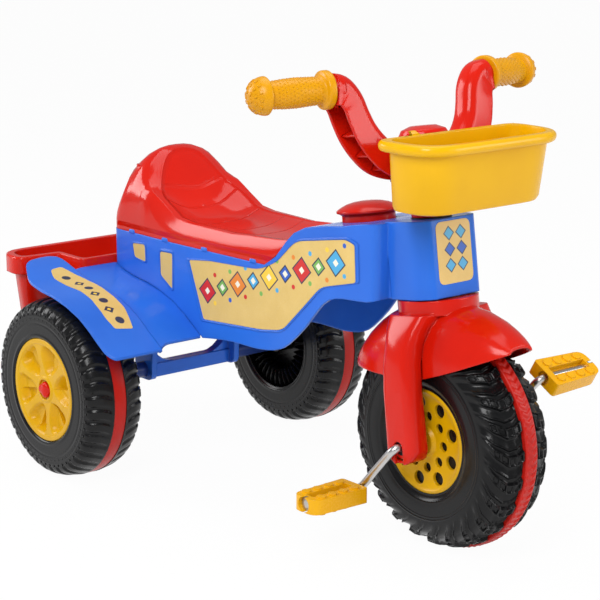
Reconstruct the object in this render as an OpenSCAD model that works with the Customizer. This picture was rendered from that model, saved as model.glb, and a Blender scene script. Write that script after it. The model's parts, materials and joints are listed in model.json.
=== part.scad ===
// Child's pedal tricycle: moulded body, seat, basket, rear bin, steered front wheel with pedals.
// Millimetres. +Z is up, -Y is the way it rides, X is across.
// Drawn with the front axle over y = 0, then set down with its footprint centred on the origin.

/* [Wheels] */
// Radius of the front wheel over its lugs
front_r = 125; // [118:1:130]
// Width of the front wheel over both tyre halves
front_w = 84; // [76:1:88]
// Radius of the rear wheels
rear_r = 110; // [104:1:114]
// Width of a rear wheel over both tyre halves
rear_w = 80; // [70:1:82]
// Distance between the middles of the two rear wheels
rear_track = 359; // [352:1:370]
// Distance from the front axle to the rear axle
wheelbase = 477; // [470:1:484]
// Width of the coloured band between the tyre halves
band_w = 17; // [12:1:20]
// Radius of the perforated disc on the front wheel
disc_r = 58; // [50:1:64]
// Radius of the spoked hub on the rear wheels
hub_r = 63; // [56:1:68]
// Number of paddle lugs on each half of the front tyre
lug_count = 18; // [12:1:22]
// Number of ridges on each half of a rear tyre
ridge_count = 40; // [28:1:48]
// Thickness of the blown wheel halves
wheel_wall = 3; // [2.4:0.2:3.6]

/* [Crank and pedals] */
// Radius of the crank rod
rod_r = 4.5; // [4:0.1:5]
// Distance from the crank's axis to a pedal's axis
crank_throw = 80; // [68:1:86]
// Angle of the right crank arm below the horizontal
crank_angle = 47.5; // [0:0.5:80]
// Length of a pedal along its axis
pedal_len = 74; // [64:1:80]
// Width of a pedal across its axis
pedal_w = 42; // [36:1:50]
// Thickness of a pedal
pedal_t = 20; // [17:0.5:23]
// How far the left pedal hangs turned on its pin
pedal_tilt = 30; // [0:1:45]
// Running clearance between a shaft and its hole, on the radius
running_gap = 0.05; // [0.02:0.01:0.09]

/* [Steering] */
// Angle by which the steering axis leans back
rake = 8; // [6:0.5:10]
// Width of the steering head and of the fork's neck
head_w = 88; // [80:1:94]
// Height of the middle of the head's lower face
head_low_z = 277.5; // [275:0.5:280]
// Height of the middle of the head's upper face
head_top_z = 360.5; // [355:0.5:364]
// Radius of the steel steering tube
tube_r = 12; // [10:0.5:14]
// Wall of the fork and its mudguard
fork_wall = 3.5; // [3:0.1:4.5]
// Width of a fork leg across the wheel's axle
leg_w = 46; // [42:1:52]
// Depth of a fork leg along the wheel's axle
leg_d = 28; // [26:1:32]

/* [Handlebar] */
// Height of the grips above the steering head, along the axis
bar_rise = 146; // [135:1:155]
// Distance from the middle to the inner end of a grip
bar_reach = 112; // [106:1:118]
// Thickness of the handlebar
bar_t = 30; // [26:1:34]
// Width of the handlebar's arms
bar_w = 34; // [30:1:38]
// Angle by which the grips sweep back
grip_sweep = 12.5; // [8:0.5:16]
// Length of a grip with its knob
grip_len = 94; // [86:1:100]
// Radius of a grip's tube
grip_r = 13; // [12.4:0.2:15]
// Radius of a grip's flange and knob
grip_end_r = 20.5; // [18:0.5:23]

/* [Body] */
// Width of the body where it meets the steering head
body_front_w = 120; // [112:1:124]
// Width of the body under the seat
body_rear_w = 148; // [142:1:150]
// How far the body reaches behind the rear axle
body_tail = 54; // [50:1:58]
// Height of the joint between seat and body
seat_line_z = 284; // [281:0.5:286]
// Thickness of the body's walls
wall = 3; // [2.6:0.1:3.6]

/* [Rear fenders] */
// Distance from the middle to a fender's inner edge
fender_in = 138; // [134:1:142]
// Width of a fender
fender_w = 73; // [66:1:78]
// Thickness of the fender sheet
fender_t = 3; // [2.6:0.1:4]

/* [Seat] */
// Height of the top of the seat's back
seat_top_z = 387; // [370:1:400]
// Height of the seat's side ridges
seat_ridge_z = 310; // [304:1:316]
// Height of the middle of the seat pan
seat_pan_z = 302; // [296:1:304]
// Thickness of the seat shell
seat_t = 3; // [2.6:0.1:4]

/* [Basket] */
// Width of the basket over its rim
basket_w = 210; // [190:1:220]
// Depth of the basket over its rim
basket_d = 88; // [80:1:96]
// Height of the basket
basket_h = 75; // [66:1:80]
// Thickness of the basket's wall
basket_t = 2.6; // [2.2:0.1:3.4]
// Width of the basket's rolled rim
basket_lip = 8; // [6:0.5:10]

/* [Rear bin] */
// Width of the bin over its rim
bin_w = 356; // [340:1:364]
// How far the bin's rim reaches behind the rear axle
bin_tail = 165; // [156:1:172]
// Height of the bin's rim
bin_top_z = 249; // [246:1:252]
// Depth of the bin below its rim
bin_h = 92; // [80:1:96]
// Thickness of the bin's wall
bin_t = 2.6; // [2.2:0.1:3.4]

/* [Horn] */
// Radius of the horn button's rim
horn_r = 36; // [32:1:38]
// How far the horn button can be pressed
horn_travel = 5; // [3:0.5:6]
// Distance from the front axle to the horn button
horn_y = 133; // [130:1:136]

/* [Hidden] */
$fn = 96;

red = [0.82, 0.08, 0.05];
blue = [0.16, 0.42, 0.88];
yellow = [0.98, 0.78, 0.08];
amber = [0.95, 0.66, 0.05];
black = [0.09, 0.09, 0.1];
steel = [0.7, 0.7, 0.72];
tan = [0.9, 0.76, 0.45];

seat_gap = 0.3;                       // between parts that only rest side by side
front_z = front_r;                    // height of the front axle
rear_z = rear_r;                      // height of the rear axle
body_rear_y = wheelbase + body_tail;  // back of the body
bin_rear_y = wheelbase + bin_tail;    // back of the bin's rim
mid_y = (bin_rear_y - front_r) / 2;   // middle of the footprint

// ---------- helpers ----------

// Sets the whole machine down with its footprint centred on the origin
module placed() translate([0, -mid_y, 0]) children();

// Steering frame: z runs up the steering axis from the front axle, y points back
module steered() translate([0, 0, front_z]) rotate([-rake, 0, 0]) children();

// Height on the world's z of a point of the axis, as a distance along the axis
function along_axis(z) = (z - front_z) / cos(rake);

// World y of the steering axis at a height
function axis_y(z) = (z - front_z) * tan(rake);

// Turns a solid of revolution about z so that it spins about x
module about_x() rotate([0, 90, 0]) children();

// Draws a profile given in y and z and extrudes it across x, from x0 to x1
module across(x0, x1) translate([x0, 0, 0]) rotate([90, 0, 90]) linear_extrude(x1 - x0) children();

// The right-hand half and its mirror image
module both_sides() {
    children();
    mirror([1, 0, 0]) children();
}

function lerp(a, b, t) = a + (b - a) * t;
function clamp01(t) = min(1, max(0, t));
function smooth(a, b, t) = let (k = clamp01((t - a) / (b - a))) k * k * (3 - 2 * k);
function curve_at(p, k, t) = let (
    n = len(p),
    a = p[max(k - 1, 0)],
    b = p[k],
    c = p[min(k + 1, n - 1)],
    d = p[min(k + 2, n - 1)]
) 0.5 * (2 * b + (c - a) * t + (2 * a - 5 * b + 4 * c - d) * t * t + (3 * b - a - 3 * c + d) * t * t * t);

// A smooth curve through the given points, with n steps between each pair
function curve(p, n = 4) = [
    for (k = [0:len(p) - 2], i = [0:n - 1]) curve_at(p, k, i / n),
    p[len(p) - 1]
];

// Height read off a list of [y, z] points
function height_at(p, y, k = 0) =
    y <= p[0][0] ? p[0][1] :
    y >= p[len(p) - 1][0] ? p[len(p) - 1][1] :
    y <= p[k + 1][0] ? lerp(p[k][1], p[k + 1][1], (y - p[k][0]) / (p[k + 1][0] - p[k][0])) :
    height_at(p, y, k + 1);

// Rounded rectangle between two corners, as a list of points
function round_rect(x0, x1, y0, y1, r, n = 6) = [
    for (q = [0:3], i = [0:n])
        let (
            a = 90 * q + 90 * i / n,
            cx = q == 0 || q == 3 ? x1 - r : x0 + r,
            cy = q < 2 ? y1 - r : y0 + r
        )
        [cx + r * cos(a), cy + r * sin(a)]
];

// Skins a closed solid over rings of equal length, with flat ends.
// strip lists the first and last point of a T-shaped end's one side, whose ends are laid in strips across.
module skin(rings, loop = false, strip = []) {
    n = len(rings[0]);
    m = len(rings);
    points = [for (ring = rings, p = ring) p];
    sides = [
        for (j = [0:(loop ? m - 1 : m - 2)], i = [0:n - 1], h = [0, 1])
            let (
                k = (i + 1) % n,
                a = j * n,
                b = ((j + 1) % m) * n
            )
            h == 0 ? [a + i, b + i, a + k] : [b + i, b + k, a + k]
    ];
    across_pairs = len(strip) == 0 ? [] : [
        for (i = [strip[0]:strip[1] - 1], h = [0, 1])
            let (
                j = (strip[2] - i) % n,
                k = (strip[2] - i - 1) % n
            )
            h == 0 ? [i, i + 1, k] : [i, k, j]
    ];
    ends = loop ? [] : len(strip) == 0
        ? [[for (i = [0:n - 1]) i], [for (i = [n - 1:-1:0]) (m - 1) * n + i]]
        : concat(across_pairs, [for (f = across_pairs) [for (i = [2:-1:0]) (m - 1) * n + f[i]]]);
    polyhedron(points = points, faces = concat(sides, ends), convexity = 6);
}

// A polygon's corners rounded: p lists [x, y, radius]
function rounded(p, n = 5) = [
    for (i = [0:len(p) - 1])
        let (
            c = [p[i][0], p[i][1]],
            a = [p[(i + len(p) - 1) % len(p)][0], p[(i + len(p) - 1) % len(p)][1]],
            b = [p[(i + 1) % len(p)][0], p[(i + 1) % len(p)][1]],
            s = c + (a - c) * p[i][2] / norm(a - c),
            e = c + (b - c) * p[i][2] / norm(b - c)
        )
        for (k = [0:(p[i][2] > 0 ? n : 0)])
            let (t = k / n)
            s * (1 - t) * (1 - t) + c * 2 * t * (1 - t) + e * t * t
];

function at_height(p, z) = [for (q = p) [q[0], q[1], z]];

// ---------- front wheel ----------

half = front_w / 2;
crown = front_r - 7;                  // tyre's radius between its lugs
disc_x = half - 9;                    // face that carries the disc

// Outside of a front tyre half, as [radius, distance from the middle]
function front_tyre_outside(grow = 0) = [
    [crown + grow, band_w / 2],
    [crown - 1.5 + grow * 0.72, half * 0.45],
    [crown - 6 + grow * 0.52, half * 0.69],
    [crown - 13 + grow * 0.45, half * 0.88],
    [crown - 24 + grow * 0.28, half - 0.6],
    [crown - 36, half],
    [disc_r + 12, half - 0.6],
    [disc_r + 3, half - 4]
];

module front_tyre_half() {
    w = wheel_wall;
    web = [[disc_r, half - 4], [disc_r, disc_x], [rod_r, disc_x], [rod_r, 0.5], [11, 0.5], [11, disc_x - w]];
    inside = [
        [disc_r + 5, disc_x - w],
        [disc_r + 9, half - 6],
        [disc_r + 16, half - w - 0.4],
        [crown - 36, half - w],
        [crown - 25, half - w - 1],
        [crown - 15.5, half * 0.84 - w + 0.6],
        [crown - 9, half * 0.66 - w * 0.5],
        [crown - 1.5 - w, half * 0.42],
        [crown - w, band_w / 2]
    ];
    about_x() {
        rotate_extrude() polygon(concat(front_tyre_outside(), web, inside));
        front_lugs();
    }
}

// Swept paddles that stand on the crown: drawn flat, pushed out along the radius and trimmed to the tyre's curve
module front_lugs() {
    paddle = [
        [band_w / 2 + 1, -7],
        [half * 0.42, -5.5],
        [half * 0.75, 3],
        [half + 4, 14],
        [half + 4, 29],
        [half * 0.72, 15],
        [half * 0.42, 4.5],
        [band_w / 2 + 1, 1.5]
    ];
    trim = [
        for (p = front_tyre_outside(7))
            if (p[0] > crown - 26) p
    ];
    under = [
        [crown - 24.6, half - 2.2],
        [crown - 14.3, half * 0.88 - 1.4],
        [crown - 7.4, half * 0.69 - 0.5],
        [crown - 2.8, half * 0.46],
        [crown - 1.3, band_w / 2 + 0.6]
    ];
    intersection() {
        rotate_extrude() polygon(concat(trim, under));
        for (k = [0:lug_count - 1]) rotate([0, 0, 360 * k / lug_count]) rotate([90, 0, 90])
            linear_extrude(front_r + 10) polygon([for (p = paddle) [p[1], p[0]]]);
    }
}

module at_front_axle() translate([0, 0, front_z]) children();

module front_tyre_left() color(black) at_front_axle() front_tyre_half();

module front_tyre_right() color(black) at_front_axle() mirror([1, 0, 0]) front_tyre_half();

// Soft ring between the halves, with a row of raised chevrons
module front_band() {
    w = band_w / 2;
    color(red) at_front_axle() about_x() {
        rotate_extrude() polygon([[crown - 6, -w], [crown + 3.5, -w], [crown + 5, 0], [crown + 3.5, w], [crown - 6, w]]);
        intersection() {
            rotate_extrude() polygon([[crown, -w + 2], [crown + 6.2, -w + 2], [crown + 6.8, 0], [crown + 6.2, w - 2], [crown, w - 2]]);
            for (k = [0:29]) rotate([0, 0, 12 * k]) rotate([90, 0, 90]) linear_extrude(front_r + 10)
                polygon([[-3, -w], [1, -w], [5, 0], [1, w], [-3, w], [1, 0]]);
        }
    }
}

// Perforated disc that closes the outside of the front wheel
module front_disc_half() {
    about_x() difference() {
        rotate_extrude() polygon([
            [rod_r, disc_x],
            [disc_r, disc_x],
            [disc_r, half - 4.5],
            [disc_r - 3, half - 3],
            [disc_r - 6, half - 5],
            [18, half - 5],
            [15, half - 1],
            [rod_r, half - 1]
        ]);
        for (k = [0:8]) rotate([0, 0, 40 * k + 10]) translate([disc_r - 14.5, 0, disc_x - 1]) cylinder(h = 12, r = disc_r * 0.13, $fn = 32);
        for (k = [0:8]) rotate([0, 0, 40 * k + 30]) translate([disc_r * 0.5, 0, disc_x - 1]) cylinder(h = 12, r = disc_r * 0.094, $fn = 24);
    }
}

module front_disc_left() color(yellow) at_front_axle() front_disc_half();

module front_disc_right() color(yellow) at_front_axle() mirror([1, 0, 0]) front_disc_half();

// ---------- crank and pedals ----------

crank_bend = 9;                       // bend radius of the rod
arm_x = leg_d + half + 12;            // middle of a crank arm, clear of the fork's leg
pin_end = arm_x + 76;                 // outer end of a crank pin
pedal_in = arm_x + 6;                 // inner end of a pedal

// Runs from the middle of the rod, up the arm and out along the pin
module crank_half() {
    about_x() cylinder(h = arm_x - crank_bend, r = rod_r);
    translate([arm_x - crank_bend, 0, crank_bend]) rotate([90, 0, 0]) rotate([0, 0, -90])
        rotate_extrude(angle = 90) translate([crank_bend, 0]) circle(rod_r);
    translate([arm_x, 0, crank_bend]) cylinder(h = crank_throw - 2 * crank_bend, r = rod_r);
    translate([arm_x + crank_bend, 0, crank_throw - crank_bend]) rotate([90, 0, 0]) rotate([0, 0, 90])
        rotate_extrude(angle = 90) translate([crank_bend, 0]) circle(rod_r);
    translate([arm_x + crank_bend, 0, crank_throw]) about_x() cylinder(h = pin_end - arm_x - crank_bend, r = rod_r);
}

module crank() color(steel) at_front_axle() {
    rotate([90 - crank_angle, 0, 0]) crank_half();
    rotate([270 - crank_angle, 0, 0]) mirror([1, 0, 0]) crank_half();
}

// Moves a part from the crank's axis to the left or the right pin
module at_left_pin() translate([0, -crank_throw * cos(crank_angle), front_z + crank_throw * sin(crank_angle)]) children();
module at_right_pin() translate([0, crank_throw * cos(crank_angle), front_z - crank_throw * sin(crank_angle)]) children();

module push_nut() difference() {
    cylinder(h = 1.6, r = rod_r + 3.5);
    translate([0, 0, -1]) cylinder(h = 4, r = rod_r);
}

// Push nuts that keep the pedals on their pins
module pedal_nuts() color(steel) {
    at_left_pin() translate([pin_end - 2.6, 0, 0]) about_x() push_nut();
    at_right_pin() translate([-pin_end + 1, 0, 0]) about_x() push_nut();
}

// A pedal on the x axis, with rows of studs beside a slot that shows the pin
module pedal() {
    w = pedal_w / 2;
    x1 = pedal_in + pedal_len;
    outline = rounded([[pedal_in, -w, 4], [x1, -w + 3, 12], [x1, w - 3, 12], [pedal_in, w, 4]]);
    difference() {
        union() {
            translate([0, 0, -pedal_t / 2 + 1.6]) linear_extrude(pedal_t - 3.2) polygon(outline);
            for (side = [-1, 1], k = [0:3]) translate([pedal_in + pedal_len * (0.17 + 0.21 * k), side * (w - 9), -pedal_t / 2])
                cylinder(h = pedal_t, r = 5, $fn = 32);
        }
        for (side = [-1, 1]) translate([pedal_in + 9, -rod_r - 1.5, side > 0 ? 1 : -pedal_t / 2 - 1])
            cube([pedal_len - 18, 2 * rod_r + 3, pedal_t / 2]);
        translate([pedal_in - 1, 0, 0]) about_x() cylinder(h = pedal_len + 2, r = rod_r + running_gap);
        translate([pedal_in - 1, 0, 0]) about_x() cylinder(h = crank_bend - 4.5, r = rod_r + 3.6);
        translate([pin_end - 2.9, 0, 0]) about_x() cylinder(h = 20, r = rod_r + 4);
    }
}

module pedal_left() color(amber) at_left_pin() rotate([pedal_tilt, 0, 0]) pedal();

module pedal_right() color(amber) at_right_pin() mirror([1, 0, 0]) pedal();

// ---------- rear wheels ----------

rear_half = rear_w / 2;
axle_r = 5;                           // radius of the rear axle
bore_r = axle_r + running_gap;
hub_x = rear_half - 10;               // plate behind the hub's pockets
track_half = rear_track / 2;

module at_rear_wheel() translate([track_half, wheelbase, rear_z]) children();

// Outer half of a rear tyre, with the seat for the hub
module rear_tyre_out() {
    w = wheel_wall;
    about_x() difference() {
        rotate_extrude() polygon([
            [rear_r, band_w / 2],
            [rear_r - 3, rear_half * 0.63],
            [rear_r - 7, rear_half * 0.83],
            [rear_r - 13, rear_half * 0.94],
            [rear_r - 24, rear_half],
            [hub_r + 2, rear_half],
            [hub_r, rear_half - 1.5],
            [hub_r, hub_x],
            [bore_r, hub_x],
            [bore_r, 0.3],
            [12, 0.3],
            [12, hub_x - w],
            [hub_r + 3, hub_x - w],
            [hub_r + 5, rear_half - w],
            [rear_r - 25, rear_half - w],
            [rear_r - 15.5, rear_half * 0.92 - w],
            [rear_r - 10.5, rear_half * 0.78 - w * 0.4],
            [rear_r - 3 - w, rear_half * 0.58],
            [rear_r - w - 1, band_w / 2]
        ]);
        tread_grooves();
    }
}

// Inner half, with a deep ribbed recess round the long hub
module rear_tyre_in() {
    w = wheel_wall;
    rib = hub_r - 9;
    mirror([1, 0, 0]) about_x() {
        difference() {
            rotate_extrude() polygon([
                [rear_r, band_w / 2],
                [rear_r - 3, rear_half * 0.63],
                [rear_r - 7, rear_half * 0.83],
                [rear_r - 13, rear_half * 0.94],
                [rear_r - 24, rear_half],
                [hub_r, rear_half],
                [hub_r - 2, rear_half - 3],
                [hub_r - 2, band_w / 2 + w],
                [14, band_w / 2 + w],
                [13, rear_half - 4],
                [bore_r, rear_half - 4],
                [bore_r, 0],
                [12, 0],
                [12, band_w / 2],
                [hub_r + 1, band_w / 2],
                [hub_r + 1, rear_half - w],
                [rear_r - 25, rear_half - w],
                [rear_r - 15.5, rear_half * 0.92 - w],
                [rear_r - 10.5, rear_half * 0.78 - w * 0.4],
                [rear_r - 3 - w, rear_half * 0.58],
                [rear_r - w - 1, band_w / 2]
            ]);
            tread_grooves();
        }
        for (k = [0:9]) rotate([0, 0, 36 * k]) translate([10, -1.2, band_w / 2 + 1]) cube([rib, 2.4, rear_half * 0.5]);
    }
}

// Shallow grooves across the crown, which leave the ridges standing
module tread_grooves() {
    w = 2 * PI * rear_r / ridge_count * 0.4;
    for (k = [0:ridge_count - 1]) rotate([0, 0, 360 * k / ridge_count])
        translate([rear_r - 2, -w / 2, band_w / 2 + 3]) rotate([0, -11, 0]) cube([8, w, rear_half * 0.55]);
}

module rear_band() {
    w = band_w / 2;
    color(red) about_x() rotate_extrude() polygon([
        [rear_r - 8, -w],
        [rear_r - 0.8, -w],
        [rear_r - 0.3, -w / 2],
        [rear_r - 0.3, w / 2],
        [rear_r - 0.8, w],
        [rear_r - 8, w]
    ]);
}

// One swept arm of the hub: wide at the rim, turned back as it nears the middle
function swirl(r, turn, spread) = [for (s = [0:5]) let (t = s / 5, q = lerp(16, r, t), a = turn * t * t + spread * (0.5 + 0.5 * t)) [q * cos(a), q * sin(a)]];

module rear_hub() {
    front = rear_half - 1.5;
    arm = concat(swirl(hub_r - 4, 42, -13), [for (i = [5:-1:0]) swirl(hub_r - 4, 42, 13)[i]]);
    color(yellow) about_x() {
            rotate_extrude() polygon([
                [bore_r, hub_x],
                [hub_r, hub_x],
                [hub_r, front],
                [hub_r - 7, front],
                [hub_r - 9, hub_x + 2],
                [19, hub_x + 2],
                [17.5, front - 1],
                [14.5, front - 1],
                [14, hub_x + 2],
                [bore_r, hub_x + 2]
            ]);
            for (k = [0:4]) rotate([0, 0, 72 * k]) translate([0, 0, hub_x + 1]) linear_extrude(front - hub_x - 1.8) polygon(arm);
    }
}

// Three-lobed cap over the end of the axle
module hub_cap() {
    color(red) about_x() difference() {
        union() {
            translate([0, 0, hub_x + 2]) cylinder(h = 4, r = 13.4);
            translate([0, 0, hub_x + 3]) linear_extrude(7) polygon([for (a = [0:10:350]) (9.4 + 2.2 * cos(3 * a)) * [cos(a), sin(a)]]);
        }
        translate([0, 0, hub_x + 1]) cylinder(h = 7.4, r = 6.6);
    }
}

module rear_tyre_outer_left() color(black) at_rear_wheel() rear_tyre_out();
module rear_tyre_inner_left() color(black) at_rear_wheel() rear_tyre_in();
module rear_band_left() at_rear_wheel() rear_band();
module rear_hub_left() at_rear_wheel() rear_hub();
module hub_cap_left() at_rear_wheel() hub_cap();
module rear_tyre_outer_right() mirror([1, 0, 0]) rear_tyre_outer_left();
module rear_tyre_inner_right() mirror([1, 0, 0]) rear_tyre_inner_left();
module rear_band_right() mirror([1, 0, 0]) rear_band_left();
module rear_hub_right() mirror([1, 0, 0]) rear_hub_left();
module hub_cap_right() mirror([1, 0, 0]) hub_cap_left();

// ---------- rear axle ----------

axle_end = track_half + hub_x + 7;
carrier_x = 69;                       // outside of the body's axle cheeks
hub_in_x = track_half - rear_half + 4; // inner end of a rear wheel's hub

module at_rear_axle() translate([0, wheelbase, rear_z]) children();

module rear_axle() color(steel) at_rear_axle() translate([-axle_end, 0, 0]) about_x() cylinder(h = 2 * axle_end, r = axle_r);

// Tubes that hold the wheels away from the body
module axle_spacers() color(blue) at_rear_axle() both_sides() translate([carrier_x, 0, 0]) about_x() difference() {
    cylinder(h = hub_in_x - carrier_x - 2.3, r = 10);
    translate([0, 0, -1]) cylinder(h = 200, r = axle_r);
}

module axle_washers() color(steel) at_rear_axle() both_sides() translate([hub_in_x - 2.3, 0, 0]) about_x() difference() {
    cylinder(h = 2, r = 11);
    translate([0, 0, -1]) cylinder(h = 4, r = axle_r);
}

module push_nuts() color(steel) at_rear_axle() both_sides() translate([track_half + hub_x + 2.5, 0, 0]) about_x() difference() {
    cylinder(h = 1.6, r = 6.2);
    translate([0, 0, -1]) cylinder(h = 4, r = axle_r);
}

// ---------- body ----------

body_bend_y = wheelbase - 77;         // where the body stops widening
body_front_y = 55;                    // where its side boxes step in to the head
panel_y = 64;                         // front end of the side picture's wall
side_slope = atan((body_rear_w - body_front_w) / 2 / (body_bend_y - body_front_y));

// Top edge of the body in side view, from the head back to the seat line, as [y, z]
function deck_line(drop = 0) = [
    [34, head_top_z - 1.6 - drop],
    [80 - drop * 0.15, head_top_z - 7.5 - drop],
    [108 - drop * 0.15, head_top_z - 13.5 - drop],
    [143 - drop * 0.2, head_top_z - 18.5 - drop],
    [167 - drop * 0.35, head_top_z - 23.5 - drop],
    [186 - drop * 0.7, head_top_z - 32.5 - drop * 0.9],
    [199 - drop * 0.85, head_top_z - 44.5 - drop * 0.8],
    [217 - drop * 0.85, seat_line_z + 12 - drop * 0.8],
    [236 - drop * 1.6, seat_line_z]
];

// Run of the fenders and of the body's lower rear edge in side view: distance behind and above the rear axle
fender_rise = [
    [-145, 62],
    [-132, 68],
    [-108, 83],
    [-93, 93],
    [-73, 104],
    [-47, 113],
    [-19, 119],
    [8, 122],
    [31, 127],
    [48, 132],
    [65, 137],
    [83, 141],
    [99, 141]
];
fender_line = [for (p = fender_rise) [wheelbase + p[0], rear_z + p[1]]];

function fender_z(y) = height_at(fender_line, y);

// Lower edge of the body in side view
belly_line = curve([
    [wheelbase - 128, rear_z + 66],
    [wheelbase - 150, rear_z + 69],
    [wheelbase - 184, rear_z + 72],
    [255, 182],
    [232, 184],
    [212, 188.5],
    [195, 198],
    [167, 223],
    [139, 254],
    [118, 264.5],
    [94, head_low_z - 10.5],
    [68, head_low_z - 8.5],
    [50, head_low_z - 3.4],
    [34, head_low_z - 2.6]
], 2);

// Half of the body's width at y
function body_half(y) = lerp(body_front_w / 2, body_rear_w / 2, clamp01((y - body_front_y) / (body_bend_y - body_front_y)));

module body_plan(inset) linear_extrude(500) polygon(rounded([
    [-head_w / 2 + 6 + inset, 36 - inset, 0],
    [head_w / 2 - 6 - inset, 36 - inset, 0],
    [head_w / 2 - 3 - inset, body_front_y - 1 + inset, 1],
    [body_front_w / 2 - inset, body_front_y + inset, 9 - inset],
    [body_rear_w / 2 - inset, body_bend_y, 20],
    [body_rear_w / 2 - inset, body_rear_y - inset, 12 - inset],
    [-body_rear_w / 2 + inset, body_rear_y - inset, 12 - inset],
    [-body_rear_w / 2 + inset, body_bend_y, 20],
    [-body_front_w / 2 + inset, body_front_y + inset, 9 - inset],
    [-head_w / 2 + 3 + inset, body_front_y - 1 + inset, 1]
], 4));

module body_outside() intersection() {
    body_plan(0);
    across(-100, 100) polygon(concat(
        deck_line(),
        [[body_rear_y + 5, seat_line_z], [body_rear_y + 5, fender_z(body_rear_y) - fender_t]],
        [for (k = [8:-1:2]) [fender_line[k][0], fender_line[k][1] - fender_t]],
        belly_line
    ));
}

module body_inside() intersection() {
    translate([0, 0, -10]) body_plan(wall);
    across(-100, 100) polygon(concat(
        deck_line(wall),
        [[236, seat_line_z + 8], [body_rear_y + 5, seat_line_z + 8], [body_rear_y + 5, 90], [30, 90], [30, head_top_z - 6]]
    ));
}

// Steering head's outline, seen along the steering axis
function head_outline(inset) = rounded([
    [-34 + inset * 0.4, -31 + inset, 6],
    [34 - inset * 0.4, -31 + inset, 6],
    [head_w / 2 - inset, -15 + inset * 0.5, 8],
    [head_w / 2 - inset, 26 - inset, 0],
    [-head_w / 2 + inset, 26 - inset, 0],
    [-head_w / 2 + inset, -15 + inset * 0.5, 8]
], 4);

head_s0 = along_axis(head_low_z);
head_s1 = along_axis(head_top_z);
sleeve_r = tube_r + 8;

module head_outside() steered() translate([0, 0, head_s0]) linear_extrude(head_s1 - head_s0) polygon(head_outline(0));

module head_inside() steered() translate([0, 0, head_s0 - 30]) linear_extrude(head_s1 - head_s0 + 30 - wall) polygon(head_outline(wall));

// Sleeve that holds the steering bushes, with the webs that carry it
module head_sleeve() steered() {
    translate([0, 0, head_s0]) difference() {
        cylinder(h = head_s1 - head_s0, r = sleeve_r + 3);
        translate([0, 0, -1]) cylinder(h = 200, r = sleeve_r);
    }
    for (side = [-1, 1]) translate([side > 0 ? sleeve_r + 1 : -head_w / 2 + 1, -1.5, head_s0 + 1])
        cube([head_w / 2 - sleeve_r - 2, 3, head_s1 - head_s0 - 2]);
    translate([-1.5, -29, head_s0 + 1]) cube([3, 29 - sleeve_r - 1, head_s1 - head_s0 - 2]);
}

// Plan of the right or left fender, outer sheet
fender_out = fender_in + fender_w;

module fender_strip(x0, x1, drop, y1) across(x0, x1) polygon(concat(
    [for (p = fender_line) if (p[0] <= y1) [p[0], p[1] - drop]],
    [for (i = [len(fender_line) - 1:-1:0]) if (fender_line[i][0] <= y1) [fender_line[i][0], fender_line[i][1] - drop - fender_t]]
));

module fender_half() {
    intersection() {
        fender_strip(fender_in - 3, fender_out + 2, 0, wheelbase + 123);
        linear_extrude(400) polygon(rounded([
            [fender_in - 0.01, wheelbase - 138, 1],
            [fender_out - 7, wheelbase - 138, 3],
            [fender_out, wheelbase - 127, 6],
            [fender_out, wheelbase + 35, 12],
            [fender_in + 50, wheelbase + 79, 14],
            [fender_in + 26, wheelbase + 89, 8],
            [fender_in + 9, wheelbase + 91, 6],
            [fender_in - 0.01, wheelbase + 79, 6]
        ], 4));
    }
    intersection() {
        fender_strip(body_rear_w / 2 - 4, fender_in + 2, 4, wheelbase + 65);
        linear_extrude(400) polygon(rounded([
            [body_rear_w / 2 - 2, wheelbase - 125, 2],
            [fender_in - 12, wheelbase - 125, 8],
            [fender_in + 1, wheelbase - 134, 1],
            [fender_in + 1, wheelbase + 48, 1],
            [fender_in - 10, wheelbase + 53, 8],
            [body_rear_w / 2 - 2, wheelbase + 53, 2]
        ], 4));
    }
    // step between the two levels
    intersection() {
        across(fender_in - 1, fender_in + 2) polygon(concat(
            [for (p = fender_line) if (p[0] <= wheelbase + 83) [p[0], p[1] - 0.5]],
            [for (i = [len(fender_line) - 1:-1:0]) if (fender_line[i][0] <= wheelbase + 83) [fender_line[i][0], fender_line[i][1] - 7]]
        ));
        translate([fender_in - 5, wheelbase - 134, 100]) cube([20, 210, 300]);
    }
}

beam_z0 = rear_z - 11;
beam_z1 = rear_z + 6;
cheek_in = carrier_x - 8;
gusset_r = 35;

// Two cheeks and a beam that carry the rear axle under the body
module axle_carrier() {
    top = fender_z(wheelbase) - 1;
    profile = rounded([
        [wheelbase - 41, top - 9, 1],
        [wheelbase - 20, rear_z + 40, 30],
        [wheelbase - 17, rear_z - 12.5, 9],
        [wheelbase + 17, rear_z - 12.5, 9],
        [wheelbase + 20, rear_z + 40, 30],
        [wheelbase + 39, top + 4, 1]
    ], 5);
    difference() {
        union() {
            for (side = [-1, 1]) across(side > 0 ? carrier_x - 8 : -carrier_x, side > 0 ? carrier_x : -carrier_x + 8) polygon(profile);
            translate([-carrier_x + 1, wheelbase - 8, beam_z0]) cube([2 * carrier_x - 2, 16, beam_z1 - beam_z0]);
            both_sides() translate([0, wheelbase + 6, 0]) rotate([90, 0, 0]) linear_extrude(12) polygon(concat(
                [[cheek_in + 1, beam_z1 - 1], [cheek_in + 1, beam_z1 + gusset_r]],
                [for (a = [0:-15:-90]) [cheek_in - gusset_r + gusset_r * cos(a), beam_z1 + gusset_r + gusset_r * sin(a)]],
                [[cheek_in - gusset_r, beam_z1 - 1]]
            ));
        }
        at_rear_axle() translate([-carrier_x - 1, 0, 0]) about_x() cylinder(h = 2 * carrier_x + 2, r = axle_r);
    }
}

// Floor under the back of the body, which carries the cheeks
module rear_floor() intersection() {
    fender_strip(-body_rear_w / 2 + 1, body_rear_w / 2 - 1, 4.6, wheelbase + 65);
    translate([-100, wheelbase - 45, 100]) cube([200, body_tail + 44, 300]);
}

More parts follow.
